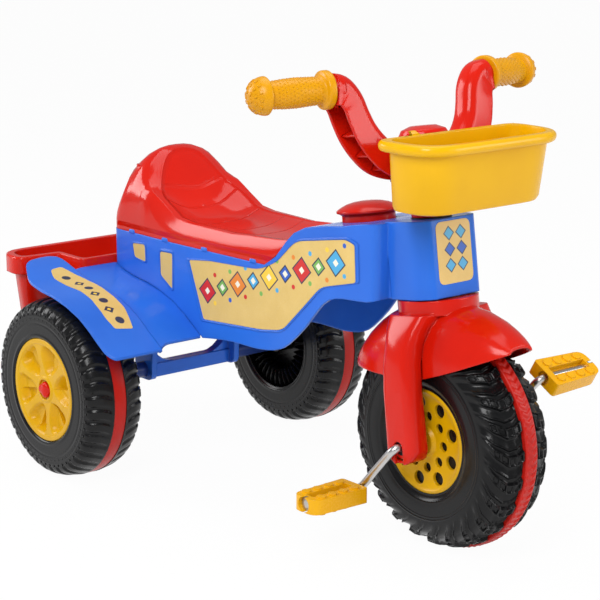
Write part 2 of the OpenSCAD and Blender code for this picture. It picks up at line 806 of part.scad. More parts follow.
// Plates across the inside, which the seat and the bin are screwed to
back_post_y = body_rear_y - 31;
seat_posts = [[50, 262], [50, back_post_y]];
post_z = seat_line_z - 24;

module cross_plates() {
    for (y = [262, back_post_y]) difference() {
        translate([-body_half(y) + 1, y - 8, post_z - 3]) cube([2 * body_half(y) - 2, 16, 3]);
        both_sides() translate([50, y, post_z - 4]) cylinder(h = 6, r = 2.2);
    }
    difference() {
        translate([-64, body_rear_y - wall, bin_top_z - 27]) cube([128, wall, 24]);
        bin_screw_places() translate([0, 0, -8]) cylinder(h = 16, r = 2.2);
    }
}

module bin_screw_places() for (x = [-42, 42]) translate([x, body_rear_y, bin_top_z - 18.5]) rotate([-90, 0, 0]) children();

// Frame of the body's side wall: x along the wall from the front, y up, z out of the wall
module on_left_wall() translate([body_half(panel_y), panel_y, 0]) rotate([0, 0, -side_slope]) rotate([90, 0, 90]) children();

// The straight part of the wall behind the bend: x is the machine's y
module on_rear_wall() translate([body_rear_w / 2, 0, 0]) rotate([90, 0, 90]) children();

// Outline of the side picture's panel, along the wall and up
side_panel = rounded([
    [22, 330, 3],
    [20, 288, 3],
    [76, 274, 10],
    [104, 247, 6],
    [141, 212, 10],
    [178, 206, 10],
    [284, 199, 3],
    [310, 268, 3],
    [270, 273, 6],
    [180, 277, 14],
    [150, 291, 8],
    [118, 320, 12],
    [36, 334, 6]
], 4);

function grown(p, c, k) = [for (q = p) c + (q - c) * k];

// Raised bead round an outline
module bead(p, h, k = 1.03) {
    c = [for (i = [0:1]) lerp(min([for (q = p) q[i]]), max([for (q = p) q[i]]), 0.5)];
    linear_extrude(h) difference() {
        polygon(grown(p, c, k));
        polygon(p);
    }
}

// Clips of the seat that show as low tabs along the seat line
module seat_clips() both_sides() for (y = [256, 344, 420, 489]) translate([body_half(y) - 1, y - 7, seat_line_z - 9]) cube([2.2, 14, 6]);

// Bosses where the two windows sit
windows = [
    for (p = [
        [[-73, 271], [-47, 270], [-48, 240], [-72, 226]],
        [[-16, 273], [11, 271], [7, 254], [-17, 251]]
    ]) rounded([for (q = p) [wheelbase + q[0], q[1], 4]])
];

module body_shell() color(blue) {
    difference() {
        union() {
            body_outside();
            head_outside();
        }
        head_inside();
        body_inside();
        horn_frame() translate([0, 0, -30]) cylinder(h = 60, r = horn_r - 4.6);
        head_mouth();
    }
    head_sleeve();
    both_sides() {
        fender_half();
        on_left_wall() translate([0, 0, -1]) bead(side_panel, 2);
        on_rear_wall() for (p = windows) translate([0, 0, -1]) bead(p, 2, 1.12);
    }
    axle_carrier();
    rear_floor();
    cross_plates();
    horn_cup();
}

// Clears the sleeve's bore through the head's roof
module head_mouth() steered() translate([0, 0, head_s1 - 10]) cylinder(h = 30, r = sleeve_r);

module head_bushes() color(black) steered() {
    difference() {
        union() {
            translate([0, 0, head_s0 - 1.2]) cylinder(h = 1.2, r = sleeve_r + 9);
            translate([0, 0, head_s0]) cylinder(h = 14, r = sleeve_r);
        }
        translate([0, 0, head_s0 - 5]) cylinder(h = 40, r = tube_r + running_gap);
    }
    difference() {
        union() {
            translate([0, 0, head_s1 - 14]) cylinder(h = 14, r = sleeve_r);
            translate([0, 0, head_s1]) cylinder(h = 1.2, r = sleeve_r + 2);
        }
        translate([0, 0, head_s1 - 20]) cylinder(h = 40, r = tube_r + running_gap);
    }
}

// ---------- stickers ----------

sticker_t = 0.4;

module side_stickers() color(tan) both_sides() on_left_wall() linear_extrude(sticker_t) polygon(grown(side_panel, [165, 268], 0.985));

module window_stickers() color(tan) both_sides() on_rear_wall() for (p = windows)
    linear_extrude(sticker_t) polygon(grown(p, [for (i = [0:1]) lerp(min([for (q = p) q[i]]), max([for (q = p) q[i]]), 0.5)], 0.97));

// Labels that follow the fenders' slope
module fender_stickers() color(tan) both_sides() intersection() {
    across(fender_in, fender_out) polygon(concat(
        fender_line,
        [for (i = [len(fender_line) - 1:-1:0]) fender_line[i] + [0, sticker_t]]
    ));
    linear_extrude(400) polygon(rounded([
        [fender_in + 17, wheelbase - 103, 2],
        [fender_in + 40, wheelbase - 99, 3],
        [fender_in + 42, wheelbase - 81, 8],
        [fender_in + 33, wheelbase - 27, 16],
        [fender_in + 40, wheelbase + 31, 8],
        [fender_in + 31, wheelbase + 51, 5],
        [fender_in + 14, wheelbase + 54, 5],
        [fender_in + 2, wheelbase + 7, 16],
        [fender_in + 7, wheelbase - 72, 12]
    ], 4));
}

module head_sticker() color(tan) steered() translate([0, -31, 0]) rotate([90, 0, 0]) linear_extrude(sticker_t) polygon(rounded([
    [-25, head_s0 + 14, 8],
    [25, head_s0 + 14, 8],
    [25, head_s1 - 3, 8],
    [-25, head_s1 - 3, 8]
]));

// ---------- seat ----------

seat_front_y = 216;
seat_ridge = [
    [200, seat_ridge_z + 12],
    [240, seat_ridge_z + 5],
    [300, seat_ridge_z],
    [body_rear_y - 131, seat_ridge_z + 1],
    [body_rear_y - 111, seat_ridge_z + 12],
    [body_rear_y - 92, seat_ridge_z + 22],
    [body_rear_y - 72, seat_ridge_z + 32],
    [body_rear_y - 41, seat_ridge_z + 40],
    [body_rear_y - 21, seat_ridge_z + 34],
    [body_rear_y - 8, seat_ridge_z + 14],
    [body_rear_y, seat_ridge_z - 8]
];
seat_spine = [
    [200, seat_pan_z + 3],
    [240, seat_pan_z],
    [body_rear_y - 131, seat_pan_z],
    [body_rear_y - 111, seat_pan_z + 4],
    [body_rear_y - 91, seat_pan_z + 15],
    [body_rear_y - 76, lerp(seat_pan_z, seat_top_z, 0.38)],
    [body_rear_y - 61, lerp(seat_pan_z, seat_top_z, 0.7)],
    [body_rear_y - 51, lerp(seat_pan_z, seat_top_z, 0.9)],
    [body_rear_y - 41, seat_top_z],
    [body_rear_y - 31, seat_top_z - 1],
    [body_rear_y - 20, seat_top_z - 10],
    [body_rear_y - 10, seat_top_z - 33],
    [body_rear_y - 3, seat_top_z - 62],
    [body_rear_y, seat_top_z - 82]
];

// Seat's top surface at y, at a fraction u of its half width
function pan_z(y, u) = let (r = height_at(seat_ridge, y), c = height_at(seat_spine, y))
    u > 0.87 ? r - (r - seat_line_z - 8) * pow((u - 0.87) / 0.13, 2.4) : c + (r - c) * smooth(0.3, 0.87, u);
function back_z(y, u) = let (c = height_at(seat_spine, y), r = height_at(seat_ridge, y), b = (r - 0.54 * c) / 0.46)
    max(seat_line_z + 5, b + (c - b) * sqrt(max(0, 1 - pow(u, 2.5))));
function seat_z(y, u) = lerp(pan_z(y, u), back_z(y, u), smooth(body_rear_y - 106, body_rear_y - 53, y));
function seat_half(y) = y < body_rear_y - 12 ? body_half(y) : body_half(y) - 12 + sqrt(max(0, 144 - pow(y - body_rear_y + 12, 2)));
seat_u = [1, 0.985, 0.95, 0.9, 0.83, 0.74, 0.62, 0.48, 0.32, 0.16, 0];

// The slope of the deck in front of the seat, as [z, y]
slope_line = [for (i = [8:-1:3]) [deck_line()[i][1], deck_line()[i][0]]];

// One rib of the seat's skin; near the front it leans along the deck's slope
function seat_point(y, x, z) = let (lean = clamp01((262 - y) / (262 - seat_front_y)))
    [x, lerp(y, height_at(slope_line, z) + 0.4, lean), z];
function seat_ring(y) = let (
    w = seat_half(y),
    half_top = [for (u = seat_u) [u * w, seat_z(y, u)]],
    half_low = [for (u = seat_u) [u * (w - seat_t), max(seat_line_z, seat_z(y, u) - seat_t * (u > 0.9 ? 1.6 : 1))]],
    n = len(seat_u)
) concat(
    [seat_point(y, -w, seat_line_z)],
    [for (i = [0:n - 1]) seat_point(y, -half_top[i][0], half_top[i][1])],
    [for (i = [n - 2:-1:0]) seat_point(y, half_top[i][0], half_top[i][1])],
    [seat_point(y, w, seat_line_z), seat_point(y, w - seat_t, seat_line_z)],
    [for (i = [0:n - 1]) seat_point(y, half_low[i][0], half_low[i][1])],
    [for (i = [n - 2:-1:0]) seat_point(y, -half_low[i][0], half_low[i][1])],
    [seat_point(y, -w + seat_t, seat_line_z)]
);

module seat() color(red) {
    skin([
        for (y = [216, 224, 236, 250, 270, 300, 340]) seat_ring(y),
        for (k = [151, 126, 111, 101, 91, 83, 75, 67, 59, 51, 43, 35, 28, 21, 15, 10, 6, 3]) seat_ring(body_rear_y - k)
    ]);
    // back wall
    end_y = body_rear_y - 3;
    translate([0, end_y + 1.5, 0]) rotate([90, 0, 0]) linear_extrude(3) polygon(concat(
        [[-seat_half(end_y) + 1, seat_line_z]],
        [for (i = [0:10]) [-seat_u[i] * (seat_half(end_y) - 1), seat_z(end_y, seat_u[i]) - 1]],
        [for (i = [9:-1:0]) [seat_u[i] * (seat_half(end_y) - 1), seat_z(end_y, seat_u[i]) - 1]],
        [[seat_half(end_y) - 1, seat_line_z]]
    ));
    both_sides() for (p = seat_posts) hull() {
        translate([p[0], p[1], post_z]) cylinder(h = 1, r = 5, $fn = 24);
        translate([p[0], p[1], seat_z(p[1], p[0] / seat_half(p[1])) - seat_t - 0.5]) cylinder(h = 1, r = 6, $fn = 24);
    }
    hull_marks();
}

// Slots of the clips along the skirt
module hull_marks() both_sides() for (y = [256, 344, 420, 489]) hull() {
    translate([body_half(y) - 2.5, y - 7, seat_line_z]) cube([2.5, 14, 3]);
    translate([body_half(y) - 2.5, y - 6, seat_line_z + 3]) cube([2, 12, 1]);
}

module seat_screws() color(steel) both_sides() for (p = seat_posts) translate([p[0], p[1], post_z - 3]) {
    cylinder(h = 12, r = 2.2);
    translate([0, 0, -2.4]) cylinder(h = 2.4, r = 4.5);
}

// ---------- rear bin ----------

bin_front_y = body_rear_y;
bin_top = bin_top_z;

// The bin's T-shaped plan, with its sides and back drawn in by k and its wall inset by t
function bin_plan(k, t, lip = 0) = let (
    w = bin_w / 2 - 8 - k - t + lip,
    n = 118 - k * 0.4 - t + lip * 0.4,
    b = bin_rear_y - 8 - k - t + lip,
    m = bin_front_y + 57 + t - lip * 0.5,
    f = bin_front_y + 3 + t - lip * 3 / 8,
    side = b - m - 5
) rounded([
    [-n, f, 8],
    [n, f, 8],
    [n, m, 5],
    [w, m + 5, side * 0.24],
    [w, b, side * 0.7],
    [-w, b, side * 0.7],
    [-w, m + 5, side * 0.24],
    [-n, m, 5]
], 4);

module rear_bin() color(red) {
    bin_shell();
    // raised field in the middle of the floor
    translate([-90, bin_front_y + 19, bin_top - bin_h + bin_t - 0.6]) cube([180, 60, 1.2]);
}

module bin_shell() difference() {
    skin([
        at_height(bin_plan(13, 4), bin_top - bin_h),
        at_height(bin_plan(11, 0.8), bin_top - bin_h + 1.5),
        at_height(bin_plan(8, 0), bin_top - bin_h + 8),
        at_height(bin_plan(0, 0), bin_top - 3),
        at_height(bin_plan(0, 0, 5.4), bin_top - 3),
        at_height(bin_plan(0, 0, 5.4), bin_top - 22),
        at_height(bin_plan(0, 0, 8), bin_top - 22),
        at_height(bin_plan(0, 0, 8), bin_top - 2),
        at_height(bin_plan(0, 0, 6), bin_top),
        at_height(bin_plan(0, bin_t), bin_top),
        at_height(bin_plan(8, bin_t), bin_top - bin_h + 9),
        at_height(bin_plan(11, bin_t + 1.5), bin_top - bin_h + 3.4),
        at_height(bin_plan(13, bin_t + 4), bin_top - bin_h + bin_t)
    ], strip = [5, 24, 49]);
    bin_screw_places() translate([0, 0, -1]) cylinder(h = 10, r = 2.2, $fn = 16);
}

module bin_screws() color(steel) bin_screw_places() {
    translate([0, 0, -wall - 4]) cylinder(h = wall + bin_t + 7, r = 2.2);
    translate([0, 0, bin_t + 3]) cylinder(h = 2.2, r = 4.5);
}

// ---------- horn ----------

module horn_frame() translate([0, horn_y, height_at(deck_line(), horn_y)]) rotate([-rake, 0, 0]) children();

horn_cup_r = horn_r - 4.6;

// Well under the deck that takes the button's skirt and its guide
module horn_cup() horn_frame() difference() {
    translate([0, 0, -19]) cylinder(h = 17.5, r = horn_cup_r + 2.5);
    translate([0, 0, -16.5]) cylinder(h = 30, r = horn_cup_r);
    translate([0, 0, -30]) cylinder(h = 30, r = 6);
}

// Round button: it stands on a guided stem, and its skirt sinks into the well
module horn_button() color(red) horn_frame() rotate_extrude() polygon(concat(
    [[0, 21.5], [8, 21.3], [16, 20.4], [24, 18.4], [30, 15.6], [horn_r - 2, 13.2], [horn_r, 11.4], [horn_r - 0.4, 9.4], [horn_r - 3, 8.4]],
    [[horn_r - 6, 6.5], [horn_r - 6, -4], [horn_r - 8.4, -4], [horn_r - 8.4, 8], [26, 12.4], [16, 17], [7, 17.8]],
    [[7, -22 + 14], [5.6, -22 + 14], [5.6, -14.5], [0, -14.5]]
));

module horn_guide() color(black) horn_frame() difference() {
    union() {
        translate([0, 0, -16.5]) cylinder(h = 8 - horn_travel + 0.2, r = 12);
        translate([0, 0, -24]) cylinder(h = 8, r = 6);
    }
    translate([0, 0, -14.5 - horn_travel - 0.4]) cylinder(h = 40, r = 5.6 + running_gap);
}

// ---------- fork ----------

leg_in = half + 6;
leg_out = leg_in + leg_d;
guard_top = front_r + 21;             // crown of the mudguard, along the axis
neck_s = head_s0 - 1.5;               // top of the fork's neck

// One rounded slice of a leg, between two distances from the middle
module leg_slice(s, x0, x1, ht, r) translate([0, 0, s]) linear_extrude(0.02) polygon(round_rect(x0, x1, -ht, ht, r, 4));

// Rows of a leg: height, inner side, outer side, half width, corner radius
leg_rows = [
    [-18, leg_in, leg_out, 9, 3],
    [-13.5, leg_in, leg_out, 17, 6],
    [-5, leg_in, leg_out, leg_w / 2, 10],
    [60, leg_in, leg_out, leg_w / 2, 12],
    [88, leg_in - 2, leg_out - 2, leg_w / 2 - 1, 12],
    [108, leg_in - 8, leg_out - 7, leg_w / 2 - 1, 12],
    [124, leg_in - 18, leg_out - 14, leg_w / 2 + 2, 12],
    [neck_s - 14, leg_in - 36, leg_out - 24, leg_w / 2 + 6, 12]
];

module leg_solid() for (i = [0:len(leg_rows) - 2]) hull() for (r = [leg_rows[i], leg_rows[i + 1]])
    leg_slice(r[0], r[1], r[2], r[3], r[4]);

module leg_hollow() for (i = [0:4]) hull() for (r = [leg_rows[i], leg_rows[i + 1]])
    leg_slice(r[0] + (i == 0 ? fork_wall * 0.8 : 0), r[1] - 12, r[2] - fork_wall, r[3] - fork_wall, max(2, r[4] - fork_wall));

// Half width of the mudguard at a fraction of its length
function guard_half(t) = (leg_in + 3) * sqrt(max(0, 1 - pow(abs(t) / 124, t < 0 ? 2.2 : 3)));
function guard_crown(t) = guard_top - (t < 0 ? 46 : 66) * pow(abs(t) / 122, 2.6);
function guard_edge(t) = t < 0 ? lerp(68, 99, pow(-t / 122, 1.3)) : lerp(68, 77, t / 118);
guard_u = [1, 0.97, 0.88, 0.74, 0.56, 0.36, 0.16, 0];

function guard_arch(t, in) = let (
    w = guard_half(t) - in,
    top = guard_crown(t) - in,
    low = guard_edge(t)
) [for (u = guard_u) [u * w, low + (top - low) * pow(max(0, 1 - pow(u, 2.3)), 0.5)]];
function guard_ring(t) = let (a = guard_arch(t, 0), b = guard_arch(t, fork_wall), n = len(guard_u)) concat(
    [for (i = [0:n - 1]) [-a[i][0], t, a[i][1]]],
    [for (i = [n - 2:-1:0]) [a[i][0], t, a[i][1]]],
    [for (i = [0:n - 1]) [b[i][0], t, b[i][1]]],
    [for (i = [n - 2:-1:0]) [-b[i][0], t, b[i][1]]]
);

module fork() color(red) steered() difference() {
    union() {
        both_sides() difference() {
            union() {
                difference() {
                    leg_solid();
                    leg_hollow();
                }
                translate([leg_in, 0, 0]) about_x() cylinder(h = leg_d - 1, r = 12.5, $fn = 40);
            }
            translate([leg_in - 1, 0, 0]) about_x() cylinder(h = leg_d - 3, r = 9.05, $fn = 40);
            translate([leg_in, 0, 0]) about_x() cylinder(h = leg_d + 2, r = rod_r + 2, $fn = 32);
            translate([leg_out - 4.5, -rod_r - 2, -30]) cube([8, 2 * rod_r + 4, 30]);
        }
        difference() {
            skin([for (t = [-117, -112, -104, -93, -80, -62, -42, -20, 0, 20, 40, 58, 74, 88, 99, 107, 112]) guard_ring(t)]);
            both_sides() translate([leg_in, -leg_w / 2 + fork_wall, 0]) cube([leg_d, leg_w - 2 * fork_wall, 104]);
        }
        translate([0, 0, neck_s - 16.5]) cylinder(h = 16.5, r = head_w / 2, $fn = 72);
    }
    translate([0, 0, neck_s - 14]) cylinder(h = 20, r = tube_r, $fn = 64);
    translate([0, 0, neck_s - 8]) rotate([90, 0, 0]) translate([0, 0, -34]) cylinder(h = 68, r = 2.5, $fn = 20);
}

module crank_bushes() color(black) at_front_axle() both_sides() translate([leg_in, 0, 0]) about_x() difference() {
    cylinder(h = leg_d - 4.2, r = 9);
    translate([0, 0, -1]) cylinder(h = 40, r = rod_r + running_gap);
}

module steering_tube() color(steel) steered() difference() {
    translate([0, 0, neck_s - 14]) cylinder(h = head_s1 + 60 - neck_s, r = tube_r);
    translate([0, 0, neck_s - 15]) cylinder(h = 200, r = tube_r - 1.5);
    translate([0, 0, neck_s - 8]) rotate([90, 0, 0]) translate([0, 0, -20]) cylinder(h = 40, r = 2.5);
    translate([-20, 0, stem_bolt_s]) about_x() cylinder(h = 40, r = 3);
}

// Screw across the fork's neck that holds the tube
module tube_screw() color(steel) steered() translate([0, 0, neck_s - 8]) rotate([90, 0, 0]) translate([0, 0, -33]) cylinder(h = 66, r = 2.5);

// ---------- handlebar ----------

stem_s = head_s1 + 1.5;               // bottom of the stem
stem_bolt_s = head_s1 + 22;
bar_s0 = head_s1 + 60;                // middle of the bar's lowest point
bar_top = head_s1 + bar_rise;

// Half of the bar's middle line, from the grip to the centre, as [x, height]
bar_half_line = [for (p = [[112, 86], [101, 83], [92, 71], [87, 54], [81, 38], [71, 23], [58, 11], [40, 4], [20, 1], [0, 0]])
    [p[0] * bar_reach / 112, bar_s0 + p[1] * (bar_rise - 60) / 86]];
bar_line = curve(concat(bar_half_line, [for (i = [8:-1:0]) [-bar_half_line[i][0], bar_half_line[i][1]]]), 2);
bar_count = len(bar_line);
function bar_width(i) = lerp(bar_w + 3, bar_w - 1, clamp01((bar_line[i][1] - bar_s0) / 80));
function bar_lean(s) = 6 + (s - bar_s0) * 0.147;

// Section of the bar: rounded towards the front, a channel open to the back
function bar_ring(i, w, d, cut) = let (
    a = bar_line[max(0, i - 1)],
    b = bar_line[min(len(bar_line) - 1, i + 1)],
    p = bar_line[i],
    dir = (b - a) / norm(b - a),
    nx = -dir[1],
    nz = dir[0],
    k = w / 2,
    q = d / 2,
    prof = [[-k, q], [-k, -q + 9], [-k + 3, -q + 3], [-k + 9, -q], [k - 9, -q], [k - 3, -q + 3], [k, -q + 9], [k, q],
        [k - 3.2, q], [k - 3.2, q - cut], [-k + 3.2, q - cut], [-k + 3.2, q]]
) [for (e = prof) [p[0] + nx * e[0], bar_lean(p[1]) + e[1], p[1] + nz * e[0]]];

module bar_rib(i) {
    r = bar_ring(i, bar_width(i) - 2, bar_t - 1, bar_t - 2);
    s = bar_line[i + 1] - bar_line[i];
    hull() for (j = [8:11], e = [0, 1.2]) translate(r[j] + [s[0], 0, s[1]] / norm(s) * e) cube(1, center = true);
}

module handlebar() color(red) difference() {
    union() {
        steered() {
            skin([for (i = [bar_count - 1:-1:0]) bar_ring(i, bar_width(i), bar_t, bar_t - 4)]);
            for (i = [5:4:13]) {
                bar_rib(i);
                bar_rib(bar_count - 1 - i);
            }
            translate([-37, bar_lean(bar_s0) - bar_t / 2 + 2, bar_s0 - bar_w / 2 - 1]) cube([74, bar_t - 3, bar_w + 2]);
            translate([0, 2, 0]) {
                translate([0, 0, stem_s]) cylinder(h = 23, r1 = tube_r + 8, r2 = tube_r + 10, $fn = 40);
                translate([0, 0, stem_s + 22]) cylinder(h = 30, r1 = tube_r + 10, r2 = 27, $fn = 40);
                hull() {
                    translate([0, 0, stem_s + 50]) cylinder(h = 34, r = 29, $fn = 40);
                    translate([0, 0, stem_s + 90]) cylinder(h = 3, r = 24, $fn = 40);
                    translate([0, 0, stem_s + 94]) cylinder(h = 3, r = 14, $fn = 40);
                }
            }
            both_sides() at_left_grip() {
                translate([0, 0, -9]) cylinder(h = 10, r = 15, $fn = 24);
                cylinder(h = grip_len - 14, r = grip_r - 2.4, $fn = 24);
            }
        }
        hull() {
            translate([-17, basket_y, 396]) cube([34, 1, 30]);
            translate([-19, basket_y + 26, 392]) cube([38, 1, 38]);
        }
    }
    steered() {
        translate([0, 0, stem_s - 1]) cylinder(h = head_s1 + 46 - stem_s + 1, r = tube_r, $fn = 64);
        translate([-60, 0, stem_bolt_s]) about_x() cylinder(h = 120, r = 3, $fn = 20);
    }
    basket_screw_places() translate([0, 0, -14]) cylinder(h = 15, r = 2.2, $fn = 16);
}

// Frame of the left grip: z runs out along the grip
module at_left_grip() translate([bar_reach, bar_lean(bar_top), bar_top]) rotate([0, 0, grip_sweep]) about_x() children();

// Grip with an inner flange and a ball at its end
module grip() rotate_extrude() polygon(concat(
    [[grip_r - 2.4, 1], [grip_end_r - 1.5, 1], [grip_end_r, 2.5], [grip_end_r, 8], [grip_end_r - 1.5, 9.5], [grip_r + 1, 11]],
    [[grip_r + 0.3, 14], [grip_r + 0.3, grip_len - 28]],
    [for (a = [-50:15:70]) [grip_end_r * cos(a), grip_len - grip_end_r + grip_end_r * sin(a) * (a > 0 ? 1 : 0.55)]],
    [[4, grip_len - 0.3], [0, grip_len - 0.3], [0, grip_len - 14], [grip_r - 2.4, grip_len - 14]]
));

module grip_left() color(amber) steered() at_left_grip() grip();
module grip_right() color(amber) steered() mirror([1, 0, 0]) at_left_grip() grip();

module stem_bolt() color(steel) steered() translate([0, 0, stem_bolt_s]) {
    translate([-24, 0, 0]) about_x() cylinder(h = 48, r = 3);
    for (x = [-27.5, 24]) translate([x, 0, 0]) about_x() cylinder(h = 3.5, r = 6, $fn = 6);
}

// ---------- basket ----------

basket_y = 8.5;                       // outside of the basket's back wall
basket_z = 456;                       // its rim

// How far from its corners the basket's plan starts to round, at the back and at the front
basket_r = [basket_d * 0.26, basket_d * 0.48];

// Plan of the basket, drawn in by k all round but at the flat back
function basket_plan(k, t, lip = 0) = rounded([
    [-basket_w / 2 + basket_lip + k + t - lip, basket_y - t + lip, basket_r[0] - 0.35 * (k + 2 * t)],
    [-basket_w / 2 + basket_lip + k + t - lip, basket_y + 2 * basket_lip - basket_d + k + t - lip, basket_r[1] + lip - 0.62 * (k + 2 * t)],
    [basket_w / 2 - basket_lip - k - t + lip, basket_y + 2 * basket_lip - basket_d + k + t - lip, basket_r[1] + lip - 0.62 * (k + 2 * t)],
    [basket_w / 2 - basket_lip - k - t + lip, basket_y - t + lip, basket_r[0] - 0.35 * (k + 2 * t)]
], 8);

module basket_screw_places() for (x = [-9, 9]) translate([x, basket_y, 411]) rotate([90, 0, 0]) children();

module basket() color(yellow) difference() {
    union() {
        skin([
            at_height(basket_plan(12, 3), basket_z - basket_h),
            at_height(basket_plan(9, 0.6), basket_z - basket_h + 1.6),
            at_height(basket_plan(7, 0), basket_z - basket_h + 6),
            at_height(basket_plan(0, 0), basket_z - 2.6),
            at_height(basket_plan(0, 0, basket_lip - 2.4), basket_z - 2.8),
            at_height(basket_plan(0, 0, basket_lip - 2.4), basket_z - 11),
            at_height(basket_plan(0, 0, basket_lip), basket_z - 11),
            at_height(basket_plan(0, 0, basket_lip), basket_z - 2),
            at_height(basket_plan(0, 0, basket_lip - 2), basket_z),
            at_height(basket_plan(0, basket_t), basket_z),
            at_height(basket_plan(7, basket_t), basket_z - basket_h + 7),
            at_height(basket_plan(9, basket_t + 1.4), basket_z - basket_h + 3.6),
            at_height(basket_plan(12, basket_t + 4), basket_z - basket_h + basket_t)
        ]);
        // raised field in the middle of the floor
        translate([-50, basket_y - basket_d * 0.5, basket_z - basket_h + basket_t - 0.6]) cube([100, basket_d * 0.36, 1.2]);
        hull() {
            translate([-54, basket_y + basket_lip - 4, basket_z - 4]) cube([12, 5, 3]);
            translate([-52, basket_y + basket_lip - 3, basket_z + 3]) cube([8, 3, 1]);
        }
    }
    basket_screw_places() translate([0, 0, -1]) cylinder(h = 8, r = 2.2, $fn = 16);
}

module basket_screws() color(steel) basket_screw_places() {
    translate([0, 0, -12]) cylinder(h = 12 + basket_t, r = 2.2);
    translate([0, 0, basket_t]) cylinder(h = 2.2, r = 4.5);
}

// ---------- the machine ----------

placed() body_shell();
placed() seat();
placed() rear_bin();
placed() rear_axle();
placed() axle_spacers();
placed() axle_washers();
placed() push_nuts();
placed() head_bushes();
placed() seat_screws();
placed() bin_screws();
placed() side_stickers();
placed() window_stickers();
placed() fender_stickers();
placed() head_sticker();
placed() fork();
placed() handlebar();
placed() grip_right();
placed() grip_left();
placed() basket();
placed() steering_tube();
placed() stem_bolt();
placed() basket_screws();
placed() crank_bushes();
placed() tube_screw();
placed() front_tyre_right();
placed() front_tyre_left();
placed() front_band();
placed() front_disc_right();
placed() front_disc_left();
placed() crank();
placed() pedal_nuts();
placed() pedal_right();
placed() pedal_left();
placed() horn_button();
placed() horn_guide();
placed() rear_tyre_outer_right();
placed() rear_tyre_inner_right();
placed() rear_band_right();
placed() rear_hub_right();
placed() hub_cap_right();
placed() rear_tyre_outer_left();
placed() rear_tyre_inner_left();
placed() rear_band_left();
placed() rear_hub_left();
placed() hub_cap_left();
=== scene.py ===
# Child's pedal tricycle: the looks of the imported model.
# Metres, +Z up, -Y is the way it rides. Every piece sits where the CAD node it dresses sits.
import bpy, bmesh, json, math
import numpy as np
from mathutils import Vector, Matrix
from mathutils.geometry import convex_hull_2d

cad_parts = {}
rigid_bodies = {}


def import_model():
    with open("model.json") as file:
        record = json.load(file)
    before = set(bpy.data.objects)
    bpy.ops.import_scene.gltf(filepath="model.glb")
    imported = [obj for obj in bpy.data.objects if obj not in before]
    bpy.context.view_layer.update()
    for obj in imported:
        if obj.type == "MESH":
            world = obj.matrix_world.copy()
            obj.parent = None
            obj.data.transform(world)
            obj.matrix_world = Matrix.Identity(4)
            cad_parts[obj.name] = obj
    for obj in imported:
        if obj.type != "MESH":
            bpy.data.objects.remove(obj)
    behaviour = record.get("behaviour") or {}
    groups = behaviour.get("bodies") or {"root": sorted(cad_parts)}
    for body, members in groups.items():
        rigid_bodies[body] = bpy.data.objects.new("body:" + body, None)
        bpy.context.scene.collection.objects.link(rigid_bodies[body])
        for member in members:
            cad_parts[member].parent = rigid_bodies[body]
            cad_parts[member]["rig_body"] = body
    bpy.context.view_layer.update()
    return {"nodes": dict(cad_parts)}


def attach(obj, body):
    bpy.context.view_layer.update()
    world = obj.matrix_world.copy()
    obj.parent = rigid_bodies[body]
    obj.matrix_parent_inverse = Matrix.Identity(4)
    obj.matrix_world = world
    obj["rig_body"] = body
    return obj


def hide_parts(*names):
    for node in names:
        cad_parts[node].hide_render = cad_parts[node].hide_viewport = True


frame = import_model()
print("frame loaded:", len(frame["nodes"]), "nodes")

mm = 0.001
midY = 258.5  # drawn y of the footprint's middle, mm


# a wire stands for a socket, and an expression on wires adds Math nodes
class Wire:
    def __init__(self, paint, socket):
        self.paint = paint
        self.socket = socket

    def __add__(self, other): return self.paint.maths("ADD", self, other)
    def __radd__(self, other): return self.paint.maths("ADD", other, self)
    def __sub__(self, other): return self.paint.maths("SUBTRACT", self, other)
    def __rsub__(self, other): return self.paint.maths("SUBTRACT", other, self)
    def __mul__(self, other): return self.paint.maths("MULTIPLY", self, other)
    def __rmul__(self, other): return self.paint.maths("MULTIPLY", other, self)
    def __truediv__(self, other): return self.paint.maths("DIVIDE", self, other)


